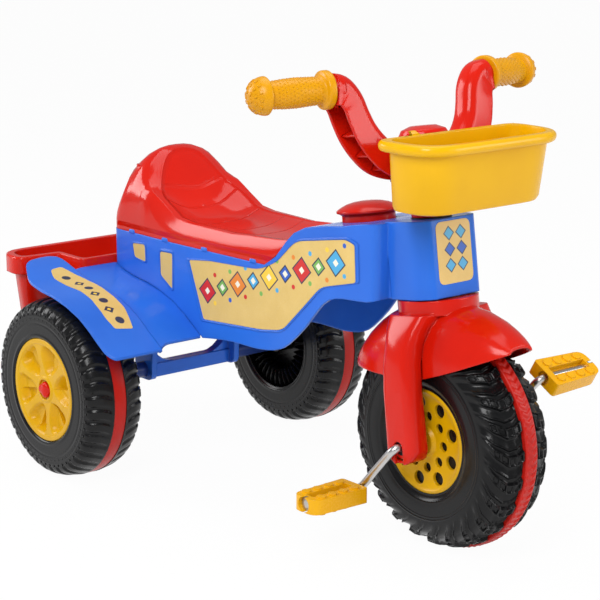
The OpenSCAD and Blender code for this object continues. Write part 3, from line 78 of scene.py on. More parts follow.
class Paint:
    def __init__(self, name):
        self.material = bpy.data.materials.new(name)
        self.material.use_nodes = True
        self.tree = self.material.node_tree
        self.tree.nodes.clear()

    # any node: its type, its settings, then the values or links of its sockets
    def node(self, kind, settings=None, sockets=None):
        made = self.tree.nodes.new(kind)
        for key, value in (settings or {}).items():
            setattr(made, key, value)
        for key, value in (sockets or {}).items():
            socket = made.inputs[key]
            if isinstance(value, Wire):
                self.tree.links.new(value.socket, socket)
            elif isinstance(value, tuple) and len(value) == 3 and socket.type == "RGBA":
                socket.default_value = (*value, 1)
            else:
                socket.default_value = value
        return made

    def wire(self, made, output=0): return Wire(self, made.outputs[output])

    def maths(self, operation, *values, clamp=False):
        settings = {"operation": operation, "use_clamp": clamp}
        return self.wire(self.node("ShaderNodeMath", settings, dict(enumerate(values))))

    def soft(self, value, width):  # 0 to 1 across a soft edge
        return self.maths("ADD", value / width, 0.5, clamp=True)

    def mix(self, factor, first, second):
        made = self.node("ShaderNodeMix", {"data_type": "RGBA"}, {0: factor, 6: first, 7: second})
        return self.wire(made, 2)

    def noise(self, scale, detail, rough):
        sockets = {"Vector": self.place(), "Scale": scale, "Detail": detail, "Roughness": rough}
        return self.wire(self.node("ShaderNodeTexNoise", {}, sockets))

    def place(self):
        if not hasattr(self, "coord"):
            self.coord = self.node("ShaderNodeTexCoord")
        return self.wire(self.coord, 3)

    def axes(self):  # object x, y, z in mm, y counted from the front axle as it is drawn
        parts = self.node("ShaderNodeSeparateXYZ", {}, {0: self.place()})
        return self.wire(parts, 0) * 1000, self.wire(parts, 1) * 1000 + midY, self.wire(parts, 2) * 1000

    def bump(self, height, strength, distance, under=None):
        sockets = {"Height": height, "Strength": strength, "Distance": distance}
        if under is not None:
            sockets["Normal"] = under
        return self.wire(self.node("ShaderNodeBump", {}, sockets))

    def edge(self, radius):  # rounds the look of every edge
        return self.wire(self.node("ShaderNodeBevel", {"samples": 6}, {"Radius": radius}))

    def finish(self, links, fixed):
        body = self.node("ShaderNodeBsdfPrincipled", {}, {**fixed, **links})
        out = self.node("ShaderNodeOutputMaterial")
        self.tree.links.new(body.outputs[0], out.inputs[0])
        return self.material


def shade(red, green, blue):  # a screen colour, 0 to 255, as scene values
    parts = (red / 255, green / 255, blue / 255)
    return tuple(c / 12.92 if c <= 0.04045 else ((c + 0.055) / 1.055) ** 2.4 for c in parts)


plastics = {
    name: {"colour": shade(*colour), "deep": shade(*deep), "roughness": roughness, "edge": edge, "ripple": ripple}
    for name, colour, deep, roughness, edge, ripple in (
        ("bluePlastic", (46, 112, 220), (38, 100, 206), 0.2, 0.0026, 0.10),
        ("redPlastic", (212, 30, 9), (196, 22, 7), 0.16, 0.0024, 0.10),
        ("bandPlastic", (192, 28, 16), (170, 20, 12), 0.34, 0.0006, 0.14),
        ("yellowPlastic", (232, 178, 2), (222, 166, 1), 0.24, 0.0020, 0.06),
        ("wheelYellow", (220, 172, 3), (206, 154, 2), 0.3, 0.0012, 0.08),
        ("amberPlastic", (220, 158, 5), (208, 142, 3), 0.3, 0.0009, 0.10),
        ("pedalYellow", (238, 178, 10), (228, 164, 6), 0.28, 0.0009, 0.10),
        ("bushPlastic", (28, 28, 30), (20, 20, 22), 0.45, 0.0004, 0.1),
        # painted shade: the axle spacers are the body's blue plastic, made darker here to stand in for the shade under
        # the body
        ("darkBlue", (38, 62, 128), (30, 52, 112), 0.3, 0.0008, 0.1))
}


def mouldedPlastic(name, spec):
    paint = Paint(name)
    broad = paint.noise(9.0, 3.0, 0.55)
    fine = paint.noise(420.0, 2.0, 0.6)
    flow = paint.noise(38.0, 2.0, 0.5)
    colour = paint.mix(paint.soft(broad - 0.5, 0.5), spec["deep"], spec["colour"])
    rough = spec["roughness"] + broad * 0.09 + fine * 0.05 - 0.07
    surface = flow * 0.8 + fine * 0.05
    normal = paint.bump(surface, spec["ripple"], 0.0012, paint.edge(spec["edge"]))
    return paint.finish(
        {"Base Color": colour, "Roughness": rough, "Normal": normal},
        {"IOR": 1.5, "Specular IOR Level": 0.26})


looks = {name: mouldedPlastic(name, spec) for name, spec in plastics.items()}


# the seat's skin: low creases across the pan, a dot in the middle of each, a soft bead round the bowl
seatSkin = {
    "colour": shade(212, 29, 9), "deep": shade(196, 21, 7), "roughness": 0.13, "edge": 0.0022, "topFrom": 292.0,
    "creases": ((304, 1.5), (341, 1.5), (392, 1.5), (436, 1.8), (456, 1.8)), "creaseDeep": 0.75,
    "dots": (304, 341, 392, 438), "dotRadius": 3.0, "dotTall": 0.9,
    "bowlY": 430, "bowlLong": 54, "bowlHalf": 57, "bowlStep": 1.6, "beadTall": 1.1,
}


def seatLook(spec):
    paint = Paint("seatPlastic")
    x, y, z = paint.axes()
    away = paint.maths("ABSOLUTE", x)
    broad = paint.noise(9.0, 3.0, 0.55)
    flow = paint.noise(30.0, 2.0, 0.5)
    colour = paint.mix(paint.soft(broad - 0.5, 0.5), spec["deep"], spec["colour"])
    onTop = paint.soft(z - spec["topFrom"], 6.0)
    # how far outside the bowl's border a point lies, in mm
    back = paint.maths("MAXIMUM", (y - spec["bowlY"]) / spec["bowlLong"], 0.0)
    wide = away / spec["bowlHalf"]
    out = (paint.maths("SQRT", wide * wide + back * back) - 1.0) * spec["bowlHalf"]
    beadHere = paint.maths("MAXIMUM", 1.0 - paint.maths("ABSOLUTE", out - 1.5) / 5.0, 0.0)
    height = paint.soft(out, 7.0) * spec["bowlStep"] + beadHere * beadHere * spec["beadTall"]
    inBowl = paint.soft(-1.0 * out - 2.0, 5.0)
    groove = 0.0
    for at, half in spec["creases"]:
        bent = y - at - paint.maths("MAXIMUM", away - 6.0, 0.0) * 0.12
        groove = paint.maths("MAXIMUM", 1.0 - paint.maths("ABSOLUTE", bent) / half, 0.0) + groove
    height = height - groove * inBowl * spec["creaseDeep"]
    for at in spec["dots"]:
        gap = paint.maths("SQRT", x * x + (y - at) * (y - at))
        height = height + paint.maths("MAXIMUM", 1.0 - gap / spec["dotRadius"], 0.0) * spec["dotTall"]
    height = height * onTop + flow * 0.05
    normal = paint.bump(height, 1.0, 0.001, paint.edge(spec["edge"]))
    rough = spec["roughness"] + broad * 0.08 - 0.03
    return paint.finish(
        {"Base Color": colour, "Roughness": rough, "Normal": normal},
        {"IOR": 1.5, "Specular IOR Level": 0.34})


looks["seatPlastic"] = seatLook(seatSkin)


tyreSkin = {
    "dark": (0.0035, 0.0035, 0.004), "light": (0.007, 0.007, 0.0075), "worn": (0.03, 0.03, 0.03),
    "roughness": 0.22, "edge": 0.0007, "grain": 0.06,
}


def tyreLook(spec):
    paint = Paint("tyreBlack")
    broad = paint.noise(14.0, 4.0, 0.6)
    grain = paint.noise(900.0, 2.0, 0.6)
    scuff = paint.noise(120.0, 5.0, 0.7)
    colour = paint.mix(paint.soft(broad - 0.5, 0.6), spec["dark"], spec["light"])
    colour = paint.mix(paint.soft(scuff - 0.68, 0.12) * 0.2, colour, spec["worn"])
    rough = spec["roughness"] + broad * 0.1 + scuff * 0.08 - 0.06
    normal = paint.bump(grain * 0.4 + scuff * 0.6, spec["grain"], 0.0005, paint.edge(spec["edge"]))
    return paint.finish(
        {"Base Color": colour, "Roughness": rough, "Normal": normal},
        {"IOR": 1.5, "Specular IOR Level": 0.26})


steels = {
    "rodSteel": {"colour": (0.62, 0.61, 0.60), "roughness": 0.24, "streak": 0.1},
    "zincSteel": {"colour": (0.55, 0.56, 0.58), "roughness": 0.36, "streak": 0.16},
}


def steelLook(name, spec):
    paint = Paint(name)
    colour = spec["colour"]
    broad = paint.noise(30.0, 4.0, 0.6)
    fine = paint.noise(1400.0, 2.0, 0.7)
    stain = paint.noise(160.0, 4.0, 0.65)
    tone = paint.mix(paint.soft(broad - 0.5, 0.6), tuple(c * 0.82 for c in colour), colour)
    tone = paint.mix(paint.soft(stain - 0.66, 0.1) * 0.5, tone, tuple(c * 0.45 for c in colour))
    rough = spec["roughness"] + broad * 0.12 + fine * spec["streak"] - 0.06
    normal = paint.bump(fine * 0.6 + stain * 0.4, 0.12, 0.0004, paint.edge(0.0005))
    return paint.finish({"Base Color": tone, "Roughness": rough, "Normal": normal}, {"Metallic": 1.0})


looks["tyreBlack"] = tyreLook(tyreSkin)
for name, spec in steels.items():
    looks[name] = steelLook(name, spec)
print("plastics and metals made")

# inks of the printed labels
inks = {
    "ground": shade(222, 190, 112), "groundDeep": shade(212, 178, 98), "line": shade(34, 44, 74),
    "red": shade(206, 40, 34), "white": shade(236, 232, 214), "sky": shade(72, 166, 214), "blue": shade(40, 92, 190),
    "green": shade(118, 176, 84), "orange": shade(226, 132, 42), "sun": shade(240, 200, 60),
}


# a label: its ground first, then soft-edged shapes laid on it in mm
class Print(Paint):
    def begin(self, across, up):
        self.across, self.up = across, up
        grain = self.noise(700.0, 2.0, 0.6)
        cloud = self.noise(30.0, 3.0, 0.6)
        self.cloud = cloud
        self.tone = self.mix(self.soft(cloud - 0.5, 0.5), inks["groundDeep"], inks["ground"])
        self.tone = self.mix(self.soft(grain - 0.6, 0.2) * 0.08, self.tone, inks["white"])

    def lay(self, inside, ink):
        self.tone = self.mix(self.soft(inside, 0.5), self.tone, inks[ink])

    def disc(self, a, b, r, ink):
        da, db = self.across - a, self.up - b
        self.lay(r - self.maths("SQRT", da * da + db * db), ink)

    def lozenge(self, a, b, r, ink):
        self.lay(r - (self.maths("ABSOLUTE", self.across - a) + self.maths("ABSOLUTE", self.up - b)), ink)

    def done(self):
        fine = self.noise(500.0, 2.0, 0.5)
        rough = 0.24 + fine * 0.08 + self.cloud * 0.06
        normal = self.bump(fine, 0.06, 0.0004)
        return self.finish(
            {"Base Color": self.tone, "Roughness": rough, "Normal": normal},
            {"IOR": 1.48, "Specular IOR Level": 0.5})


# side label, in drawn y (along the body) and z: a climbing row of lozenges with dots on both sides
sideArt = {
    "from": (338.0, 236.0), "step": (-27.6, 8.6), "big": 16.0, "small": 11.0, "frame": 2.2, "core": 4.5,
    "inks": ("red", "green", "orange", "sky", "sun", "blue", "red", "green", "sky"), "dot": 2.8, "aside": 17.0,
}


def sideLabel(spec):
    art = Print("sideLabel")
    x, y, z = art.axes()
    art.begin(y, z)
    (a, b), (stepA, stepB), row = spec["from"], spec["step"], spec["inks"]
    for k, ink in enumerate(row):
        r = spec["small"] if k % 2 else spec["big"]
        art.lozenge(a, b, r, "line")
        art.lozenge(a, b, r - spec["frame"], ink)
        art.lozenge(a, b, spec["core"], "white")
        for way, shift in ((1, 3), (-1, 5)):  # a dot above and one below, half a step on
            art.disc(a + stepA / 2, b + stepB / 2 + way * spec["aside"], spec["dot"], row[k - shift])
        a, b = a + stepA, b + stepB
    return art.done()


# fender label: dark dots and lozenges in turn down the slope
fenderArt = (
    (164, 388, 5.5), (166, 407, 7.0), (161, 426, 5.5), (160, 445, 7.0),
    (157, 463, 5.5), (158, 482, 7.0), (163, 503, 5.5),
)


def fenderLabel(spec):
    art = Print("fenderLabel")
    x, y, z = art.axes()
    art.begin(art.maths("ABSOLUTE", x), y)
    for k, (a, b, r) in enumerate(spec):
        if k % 2:
            art.lozenge(a, b, r, "line")
            art.lozenge(a, b, r * 0.4, "sun")
        else:
            art.disc(a, b, r, "line")
    return art.done()


# head label: three rows of small blue lozenges, set like tiles
headArt = {"middle": (2.0, 332.0), "aside": 8.8, "pitch": 17.0, "radius": 8.0, "frame": 1.6}


def headLabel(spec):
    art = Print("headLabel")
    x, y, z = art.axes()
    art.begin(x, z)
    a, b = spec["middle"]
    for row in (-1, 0, 1):
        for way in (-1, 1):
            at = (a + way * spec["aside"], b + row * spec["pitch"])
            art.lozenge(*at, spec["radius"], "line")
            art.lozenge(*at, spec["radius"] - spec["frame"], "sky" if row else "blue")
    return art.done()


def plainLabel():
    art = Print("plainLabel")
    x, y, z = art.axes()
    art.begin(y, z)
    return art.done()


looks["sideLabel"] = sideLabel(sideArt)
looks["fenderLabel"] = fenderLabel(fenderArt)
looks["headLabel"] = headLabel(headArt)
looks["plainLabel"] = plainLabel()
print("labels made")


def sideName(side): return "left" if side > 0 else "right"


def bodyOf(node): return frame["nodes"][node]["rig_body"]


# a smooth mesh that stands in for a CAD node and rides with its body
def standIn(node, points, faces, look, sharp):
    mesh = bpy.data.meshes.new(node + "_dressed")
    points = np.asarray(points, np.float32).reshape(-1, 3)
    faces = np.asarray(faces, np.int32)
    mesh.vertices.add(len(points))
    mesh.vertices.foreach_set("co", points.ravel())
    mesh.loops.add(faces.size)
    mesh.loops.foreach_set("vertex_index", faces.ravel())
    mesh.polygons.add(len(faces))
    mesh.polygons.foreach_set("loop_start", np.arange(0, faces.size, faces.shape[1], dtype=np.int32))
    mesh.update(calc_edges=True)
    mesh.validate()
    piece = bpy.data.objects.new(node + "_dressed", mesh)
    bpy.context.scene.collection.objects.link(piece)
    mesh.materials.append(looks[look])
    mesh.polygons.foreach_set("use_smooth", np.ones(len(mesh.polygons), bool))
    mesh.set_sharp_from_angle(angle=math.radians(sharp))
    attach(piece, bodyOf(node))
    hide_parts(node)


# a CAD node's points and triangles, its loose triangles merged
def mergedNode(node):
    source = frame["nodes"][node].data
    points = np.empty(len(source.vertices) * 3, np.float32)
    source.vertices.foreach_get("co", points)
    points = points.reshape(-1, 3)
    source.calc_loop_triangles()
    corners = np.empty(len(source.loop_triangles) * 3, np.int32)
    source.loop_triangles.foreach_get("vertices", corners)
    keys = np.round(points / 4e-6).astype(np.int64)
    unique, back = np.unique(keys, axis=0, return_inverse=True)
    back = back.ravel()
    merged = np.zeros((len(unique), 3), np.float64)
    count = np.bincount(back, minlength=len(unique)).astype(np.float64)
    for axis in range(3):
        merged[:, axis] = np.bincount(back, weights=points[:, axis], minlength=len(unique)) / count
    faces = back[corners].reshape(-1, 3)
    good = (faces[:, 0] != faces[:, 1]) & (faces[:, 1] != faces[:, 2]) & (faces[:, 0] != faces[:, 2])
    return merged, faces[good]


# a closed turned shell about the x axis: rows run along the profile, columns round it
def turned(node, outer, inner, columns, relief, centre, flip, look, pose=None):
    angles = np.arange(columns) * (2 * math.pi / columns)
    outer = np.asarray(outer, float)
    ahead = np.gradient(outer, axis=0)
    normal = np.stack([ahead[:, 1], -ahead[:, 0]], 1)
    normal /= np.linalg.norm(normal, axis=1)[:, None] + 1e-9
    lift = relief(outer, angles)
    r = outer[:, 0][:, None] + normal[:, 0][:, None] * lift
    x = outer[:, 1][:, None] + normal[:, 1][:, None] * lift
    back = np.asarray(inner, float)
    r = np.vstack([r, np.repeat(back[:, 0][:, None], columns, 1)])
    x = np.vstack([x, np.repeat(back[:, 1][:, None], columns, 1)])
    n = r.shape[0]
    cx, cy, cz = centre
    points = np.stack([cx + flip * x, cy + r * np.cos(angles)[None, :], cz + r * np.sin(angles)[None, :]], -1)
    if pose is not None:
        turn = np.array(pose)
        points = points @ turn[:3, :3].T + turn[:3, 3]
    index = np.arange(n * columns).reshape(n, columns)
    nextRow = np.roll(index, -1, 0)
    faces = np.stack([index, np.roll(index, -1, 1), np.roll(nextRow, -1, 1), nextRow], -1).reshape(-1, 4)
    if flip > 0:
        faces = faces[:, ::-1]
    standIn(node, points * mm, faces, look, 50)


def resampled(points, step):  # the same line in even steps
    points = np.asarray(points, float)
    lengths = np.linalg.norm(np.diff(points, axis=0), axis=1)
    reach = np.concatenate([[0], np.cumsum(lengths)])
    count = max(2, int(reach[-1] / step) + 1)
    at = np.linspace(0, reach[-1], count)
    return np.stack([np.interp(at, reach, points[:, k]) for k in range(2)], 1)


def curved(points, step):  # a smooth line through the points, evenly stepped
    points = np.asarray(points, float)
    fine = []
    for k in range(len(points) - 1):
        a, b, c, d = points[max(k - 1, 0)], points[k], points[k + 1], points[min(k + 2, len(points) - 1)]
        for t in np.linspace(0, 1, 12, endpoint=False):
            bend = (2 * a - 5 * b + 4 * c - d) * t * t + (3 * b - a - 3 * c + d) * t ** 3
            fine.append(0.5 * (2 * b + (c - a) * t + bend))
    fine.append(points[-1])
    return resampled(fine, step)


def ease(low, high, value):  # 0 at low, 1 at high, smooth between
    t = np.clip((value - low) / (high - low), 0, 1)
    return t * t * (3 - 2 * t)


# front tyre: curved paddles with rows of square cells, a smooth scoop and a thin rib below each
frontTyre = {
    "radius": 125.0, "half": 42.0, "band": 8.5, "lugs": 24, "start": 0.02,
    "cells": 4, "cellDepth": 2.3, "cellStep": 7.7,
    "acrossAt": (9.5, 16, 25, 36, 46), "sweep": (-5.5, -1.2, 0, -9, -25), "wide": (5.4, 5.4, 5.4, 4.4, 2.4),
    "liftAt": (8.5, 18.9, 29, 37, 41.2, 42.1), "lift": (4.6, 4.3, 3.6, 2.4, 1.2, 0.4),
    "ribAt": 17.6, "ribTall": 1.6, "scoop": 2.2, "scoops": ((5.4, 16.6, 1.0), (18.6, 25.6, 0.5)),
    "rings": ((86.5, 0.6, 0.7), (83.5, 0.5, 0.5), (66.5, 1.2, 0.9)), "columns": 930,
}
frontAxle = (0.0, -midY, frontTyre["radius"])


def ringsAt(r, rings):  # low rings on a sidewall: radius, half width, height
    return sum(tall * np.exp(-((r - at) / half) ** 2) for at, half, tall in rings)


def frontTread(spec):
    crown = spec["radius"] - 7
    pitch = 2 * math.pi / spec["lugs"]

    def relief(outer, angles):
        r, x = outer[:, 0][:, None], outer[:, 1][:, None]
        reach = np.concatenate([[0], np.cumsum(np.linalg.norm(np.diff(outer, axis=0), axis=1))])[:, None]
        cross = np.minimum(x + np.maximum(0, crown - 14 - r) * 0.25, 46).ravel()
        line = np.interp(cross, spec["acrossAt"], spec["sweep"])[:, None]
        wide = np.interp(cross, spec["acrossAt"], spec["wide"])[:, None]
        onTread = np.interp(-r.ravel(), [-(crown + 1), -(crown - 11), -(crown - 27)], [1, 1, 0])[:, None]
        lift = np.interp(x.ravel(), spec["liftAt"], spec["lift"])[:, None] * onTread
        arc = np.mod(angles[None, :] + spec["start"] + pitch / 2, pitch) - pitch / 2
        edge = ease(spec["band"] + 0.2, spec["band"] + 1.4, x)
        raised = np.zeros((len(outer), len(angles)))
        sunkBy = np.zeros((len(outer), len(angles)))
        row = (reach - 2.6) / spec["cellStep"]
        cell = np.mod(row, 1)
        for shift in (-pitch, 0, pitch):
            a = (arc + shift) * np.maximum(r, 90) - line
            paddle = lift * ease(-0.7, 0.3, wide - np.abs(a))
            # square cells sunk along the paddle, a thin rim left round each
            t = (a + wide) / (2 * wide)
            sunk = ease(0.1, 0.19, cell) * ease(0.1, 0.19, 1 - cell) * ease(0.13, 0.2, t) * ease(0.13, 0.2, 1 - t)
            paddle = paddle - spec["cellDepth"] * sunk * (row > 0) * (row < spec["cells"]) * onTread
            rib = spec["ribTall"] * np.exp(-((a - spec["ribAt"]) / 0.85) ** 2) * onTread
            raised = np.maximum(raised, np.maximum(paddle, rib))
            # the scoop is deepest just below the paddle and again below the rib
            for low, high, share in spec["scoops"]:
                u = np.clip((a - low) / (high - low), 0, 1)
                sunkBy = np.maximum(sunkBy, share * spec["scoop"] * np.sin(math.pi * u ** 0.5) * onTread)
        return (raised - sunkBy * (raised < 0.3)) * edge + ringsAt(r, spec["rings"]) * (x > 36)
    return relief


def buildFrontTyre(spec, side):
    crown, half, band = spec["radius"] - 7, spec["half"], spec["band"]
    foot = [58.2, half - 4]
    outer = curved([
        [crown, band], [crown - 1.5, half * 0.45], [crown - 6, half * 0.69], [crown - 13, half * 0.88],
        [crown - 24, half - 0.6], [crown - 36, half], [70, half - 0.6], [61, half - 4], foot], 0.8)
    # the plain sidewall needs fewer rows than the tread
    plain = outer[:, 0] < 81
    outer = np.vstack([outer[~plain], outer[plain][::2], [foot]])
    inner = [
        [58.2, 33], [4.6, 33], [4.6, 0.6], [11, 0.6], [11, 30], [63, 30], [78, half - 3.6], [94, half - 4.2],
        [103, 32], [109, 26], [crown - 4.5, 17], [crown - 3, band]]
    node = "front_tyre_" + sideName(side)
    turned(node, outer, inner, spec["columns"], frontTread(spec), frontAxle, side, "tyreBlack")


for side in (1, -1):
    buildFrontTyre(frontTyre, side)

# the soft band between the halves: plain rims, a row of small chevrons between them
frontBand = {"face": 123.4, "half": 8.45, "chevrons": 90, "height": 1.2, "columns": 1080}


def bandRelief(spec):
    def relief(outer, angles):
        x = outer[:, 1][:, None]
        onFace = ease(0, 1.2, spec["half"] - 1.6 - np.abs(x)) * (outer[:, 0][:, None] > spec["face"] - 1.0)
        turn = np.mod(angles[None, :] * spec["chevrons"] / (2 * math.pi) + np.abs(x) / 13.0, 1)
        tooth = ease(0.0, 0.12, turn) * (1 - ease(0.34, 0.85, turn))
        return onFace * (spec["height"] * tooth - 0.3)
    return relief


def buildFrontBand(spec):
    face, half = spec["face"], spec["half"]
    outer = resampled([
        [112.4, -half], [face - 1.4, -half], [face - 0.3, -half + 0.5], [face + 0.1, -half + 1.2], [face + 0.2, 0],
        [face + 0.1, half - 1.2], [face - 0.3, half - 0.5], [face - 1.4, half], [112.4, half]], 0.55)
    inner = [[112.2, half - 0.2], [112.2, -half + 0.2]]
    turned("front_band", outer, inner, spec["columns"], bandRelief(spec), frontAxle, 1, "bandPlastic")


buildFrontBand(frontBand)
print("front tyres made")

# rear tyres: crosswise ridges and low rings
rearTyre = {
    "radius": 110.0, "half": 40.0, "band": 8.5, "ridges": 40, "depth": 1.9, "track": 179.5, "wheelbase": 477.0,
    "rings": ((91.0, 0.6, 0.8), (82.0, 1.0, -0.6), (66.5, 1.6, 0.9)), "columns": 480,
}


def rearAxle(across): return (across, rearTyre["wheelbase"] - midY, rearTyre["radius"])


def rearTread(spec):
    pitch = 2 * math.pi / spec["ridges"]

    def relief(outer, angles):
        r, x = outer[:, 0][:, None], outer[:, 1][:, None]
        sway = 0.035 * np.sin((x - 8) / 30 * math.pi) + 0.0016 * (x - 8)
        wave = np.cos((angles[None, :] + sway) / pitch * 2 * math.pi)
        groove = ease(0.15, 0.85, -wave)
        fade = ease(spec["band"] + 1.5, spec["band"] + 5, x) * ease(93, 98, r)
        soft = np.interp(-r.ravel(), [-110, -104, -97], [0.75, 1.25, 0.9])[:, None]
        lines = -spec["depth"] * groove * fade * soft
        return lines + ringsAt(r, spec["rings"]) * (x > 34)
    return relief


def buildRearTyre(spec, side, outside):
    crown, half, band = spec["radius"], spec["half"], spec["band"]
    outer = curved([
        [crown, band], [crown - 1.2, half * 0.42], [crown - 3, half * 0.63], [crown - 7, half * 0.83],
        [crown - 13, half * 0.94], [crown - 24, half - 1.0], [80, half - 0.9], [66, half - 1.1],
        [63.3, half - 2.3]], 1.1)
    if outside:  # a plate behind the hub
        inner = [[63.1, 21], [5.1, 21], [5.1, 0.4], [12, 0.4], [12, 18.5], [66, 18.5], [68, half - 3]]
    else:  # open, with a tube round the axle
        inner = [
            [61, half - 3], [61, band + 3.2], [14, band + 3.2], [13, half - 4], [5.1, half - 4], [5.1, 0.1],
            [12, 0.1], [12, band], [64, band], [64, half - 3]]
    inner += [
        [crown - 25, half - 3], [crown - 16, half * 0.92 - 3], [crown - 11, half * 0.78 - 1],
        [crown - 7, half * 0.55], [crown - 5, band]]
    node = "rear_tyre_" + ("outer_" if outside else "inner_") + sideName(side)
    flip = side if outside else -side
    turned(node, outer, inner, spec["columns"], rearTread(spec), rearAxle(side * spec["track"]), flip, "tyreBlack")


for side in (1, -1):
    for outside in (True, False):
        buildRearTyre(rearTyre, side, outside)
print("rear tyres made")

# rear hubs: a dished face with six pockets between flared spokes, and a small lobed cap
rearHub = {
    "spokes": 6, "start": 0.35, "rim": 63.0, "plate": 21.2, "front": 38.3, "middle": 34.6, "depth": 11.5,
    "widthAt": (16, 24, 34, 46, 56), "width": (7.0, 4.2, 2.8, 3.6, 7.5), "lobes": 3, "lobeTall": 0.9, "columns": 480,
}


def hubRelief(spec):
    pitch = 2 * math.pi / spec["spokes"]

    def relief(outer, angles):
        r, x = outer[:, 0][:, None], outer[:, 1][:, None]
        turn = np.mod(angles[None, :] - spec["start"] + pitch / 2, pitch) - pitch / 2
        off = np.abs(r * np.sin(turn))
        half = np.interp(r.ravel(), spec["widthAt"], spec["width"])[:, None]
        face = (x > spec["plate"] + 2) * ease(56.5, 49, r) * ease(16, 29, r)
        into = ease(0.0, 9.0, off - half)
        # one flank of each pocket is deeper than the other
        slant = 0.8 + 0.2 * np.sin(turn * spec["spokes"] / 2)
        return -spec["depth"] * into * slant * face
    return relief


def capRelief(spec):
    def relief(outer, angles):
        lobes = spec["lobeTall"] * np.cos(spec["lobes"] * angles)[None, :]
        return lobes * ease(2, 9, outer[:, 0])[:, None] * ease(33.2, 36, outer[:, 1])[:, None]
    return relief


def buildRearHub(spec, side):
    centre = rearAxle(side * rearTyre["track"])
    rim, front, middle = spec["rim"], spec["front"], spec["middle"]
    outer = resampled([
        [rim, spec["plate"]], [rim, front - 0.9], [rim - 0.9, front], [57.5, front], [56, front - 0.9], [40, 36.6],
        [26, middle + 0.4], [17, middle], [14.5, middle + 1.4], [12.4, middle + 1.4], [12.0, 33.0]], 0.7)
    inner = [[5.1, 32.6], [5.1, spec["plate"]]]
    turned("rear_hub_" + sideName(side), outer, inner, spec["columns"], hubRelief(spec), centre, side, "wheelYellow")
    dome = curved([[9.9, 33.2], [9.7, 35.6], [8.6, 37.8], [5.9, 39.3], [2.8, 39.8], [0.02, 40.0]], 0.5)
    under = [[0.02, 37.2], [6.2, 37.2], [6.2, 33.2]]
    turned("hub_cap_" + sideName(side), dome, under, 96, capRelief(spec), centre, side, "redPlastic")


for side in (1, -1):
    buildRearHub(rearHub, side)
print("rear hubs made")


# Geometry Nodes: a ring of raised pads, one tree for every such ring
def padRing():
    tree = bpy.data.node_groups.new("padRing", "GeometryNodeTree")
    face = tree.interface
    face.new_socket("Geometry", in_out="INPUT", socket_type="NodeSocketGeometry")
    face.new_socket("Count", in_out="INPUT", socket_type="NodeSocketInt").default_value = 60
    sizes = {"Radius": 0.09, "Across": 0.004, "Along": 0.003, "Height": 0.001, "Lean": 0.0, "Start": 0.0}
    for label, value in sizes.items():
        face.new_socket(label, in_out="INPUT", socket_type="NodeSocketFloat").default_value = value
    for label, kind in (("Place", "Vector"), ("Turn", "Vector"), ("Look", "Material")):
        face.new_socket(label, in_out="INPUT", socket_type="NodeSocket" + kind)
    face.new_socket("Geometry", in_out="OUTPUT", socket_type="NodeSocketGeometry")
    nodes, links = tree.nodes, tree.links

    def add(kind, sockets=None, settings=None):
        made = nodes.new(kind)
        for key, value in (settings or {}).items():
            setattr(made, key, value)
        for key, value in (sockets or {}).items():
            if isinstance(value, bpy.types.NodeSocket):
                links.new(value, made.inputs[key])
            else:
                made.inputs[key].default_value = value
        return made.outputs[0]

    def sums(operation, a, b=0.0): return add("ShaderNodeMath", {0: a, 1: b}, {"operation": operation})

    def vector(*parts): return add("ShaderNodeCombineXYZ", dict(enumerate(parts)))

    given = nodes.new("NodeGroupInput").outputs
    share = sums("DIVIDE", sums("MULTIPLY", add("GeometryNodeInputIndex"), 2 * math.pi), given["Count"])
    turn = sums("ADD", share, given["Start"])
    ring = add("GeometryNodeMeshLine", {"Count": given["Count"], "Offset": (0, 0, 0)})
    spot = vector(*(sums("MULTIPLY", sums(wave, turn), given["Radius"]) for wave in ("COSINE", "SINE")))
    ring = add("GeometryNodeSetPosition", {"Geometry": ring, "Position": spot})
    block = add("GeometryNodeMeshCube", {"Size": vector(given["Height"], given["Along"], given["Across"])})
    block = add("GeometryNodeSubdivisionSurface", {"Mesh": block, "Level": 1, "Edge Crease": 0.35})
    block = add("GeometryNodeTransform", {"Geometry": block, "Rotation": vector(0.0, given["Lean"])})
    many = add("GeometryNodeInstanceOnPoints", {"Points": ring, "Instance": block, "Rotation": vector(0.0, 0.0, turn)})
    real = add("GeometryNodeRealizeInstances", {"Geometry": many})
    laid = add("GeometryNodeTransform", {"Geometry": real, "Translation": given["Place"], "Rotation": given["Turn"]})
    smooth = add("GeometryNodeSetShadeSmooth", {"Geometry": laid})
    painted = add("GeometryNodeSetMaterial", {"Geometry": smooth, "Material": given["Look"]})
    links.new(painted, nodes.new("NodeGroupOutput").inputs[0])
    return tree


padTree = padRing()


# runs the tree for each row of inputs and joins what it makes into one plain mesh
def runTree(name, rows, body, look):
    joined = bmesh.new()
    for row in rows:
        holder = bpy.data.objects.new("holder", bpy.data.meshes.new("holder"))
        bpy.context.scene.collection.objects.link(holder)
        live = holder.modifiers.new("nodes", "NODES")
        live.node_group = padTree
        row = {**row, "Look": looks[look]}
        for item in padTree.interface.items_tree:
            if item.in_out == "INPUT" and item.name in row:
                live[item.identifier] = row[item.name]
        seen = holder.evaluated_get(bpy.context.evaluated_depsgraph_get())
        made = bpy.data.meshes.new_from_object(seen)
        holder.modifiers.clear()
        bpy.data.objects.remove(holder)
        joined.from_mesh(made)
        bpy.data.meshes.remove(made)
    bmesh.ops.recalc_face_normals(joined, faces=joined.faces)
    mesh = bpy.data.meshes.new(name)
    joined.to_mesh(mesh)
    joined.free()
    mesh.materials.clear()
    mesh.materials.append(looks[look])
    mesh.polygons.foreach_set("use_smooth", np.ones(len(mesh.polygons), bool))
    mesh.set_sharp_from_angle(angle=math.radians(50))
    piece = bpy.data.objects.new(name, mesh)
    bpy.context.scene.collection.objects.link(piece)
    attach(piece, body)


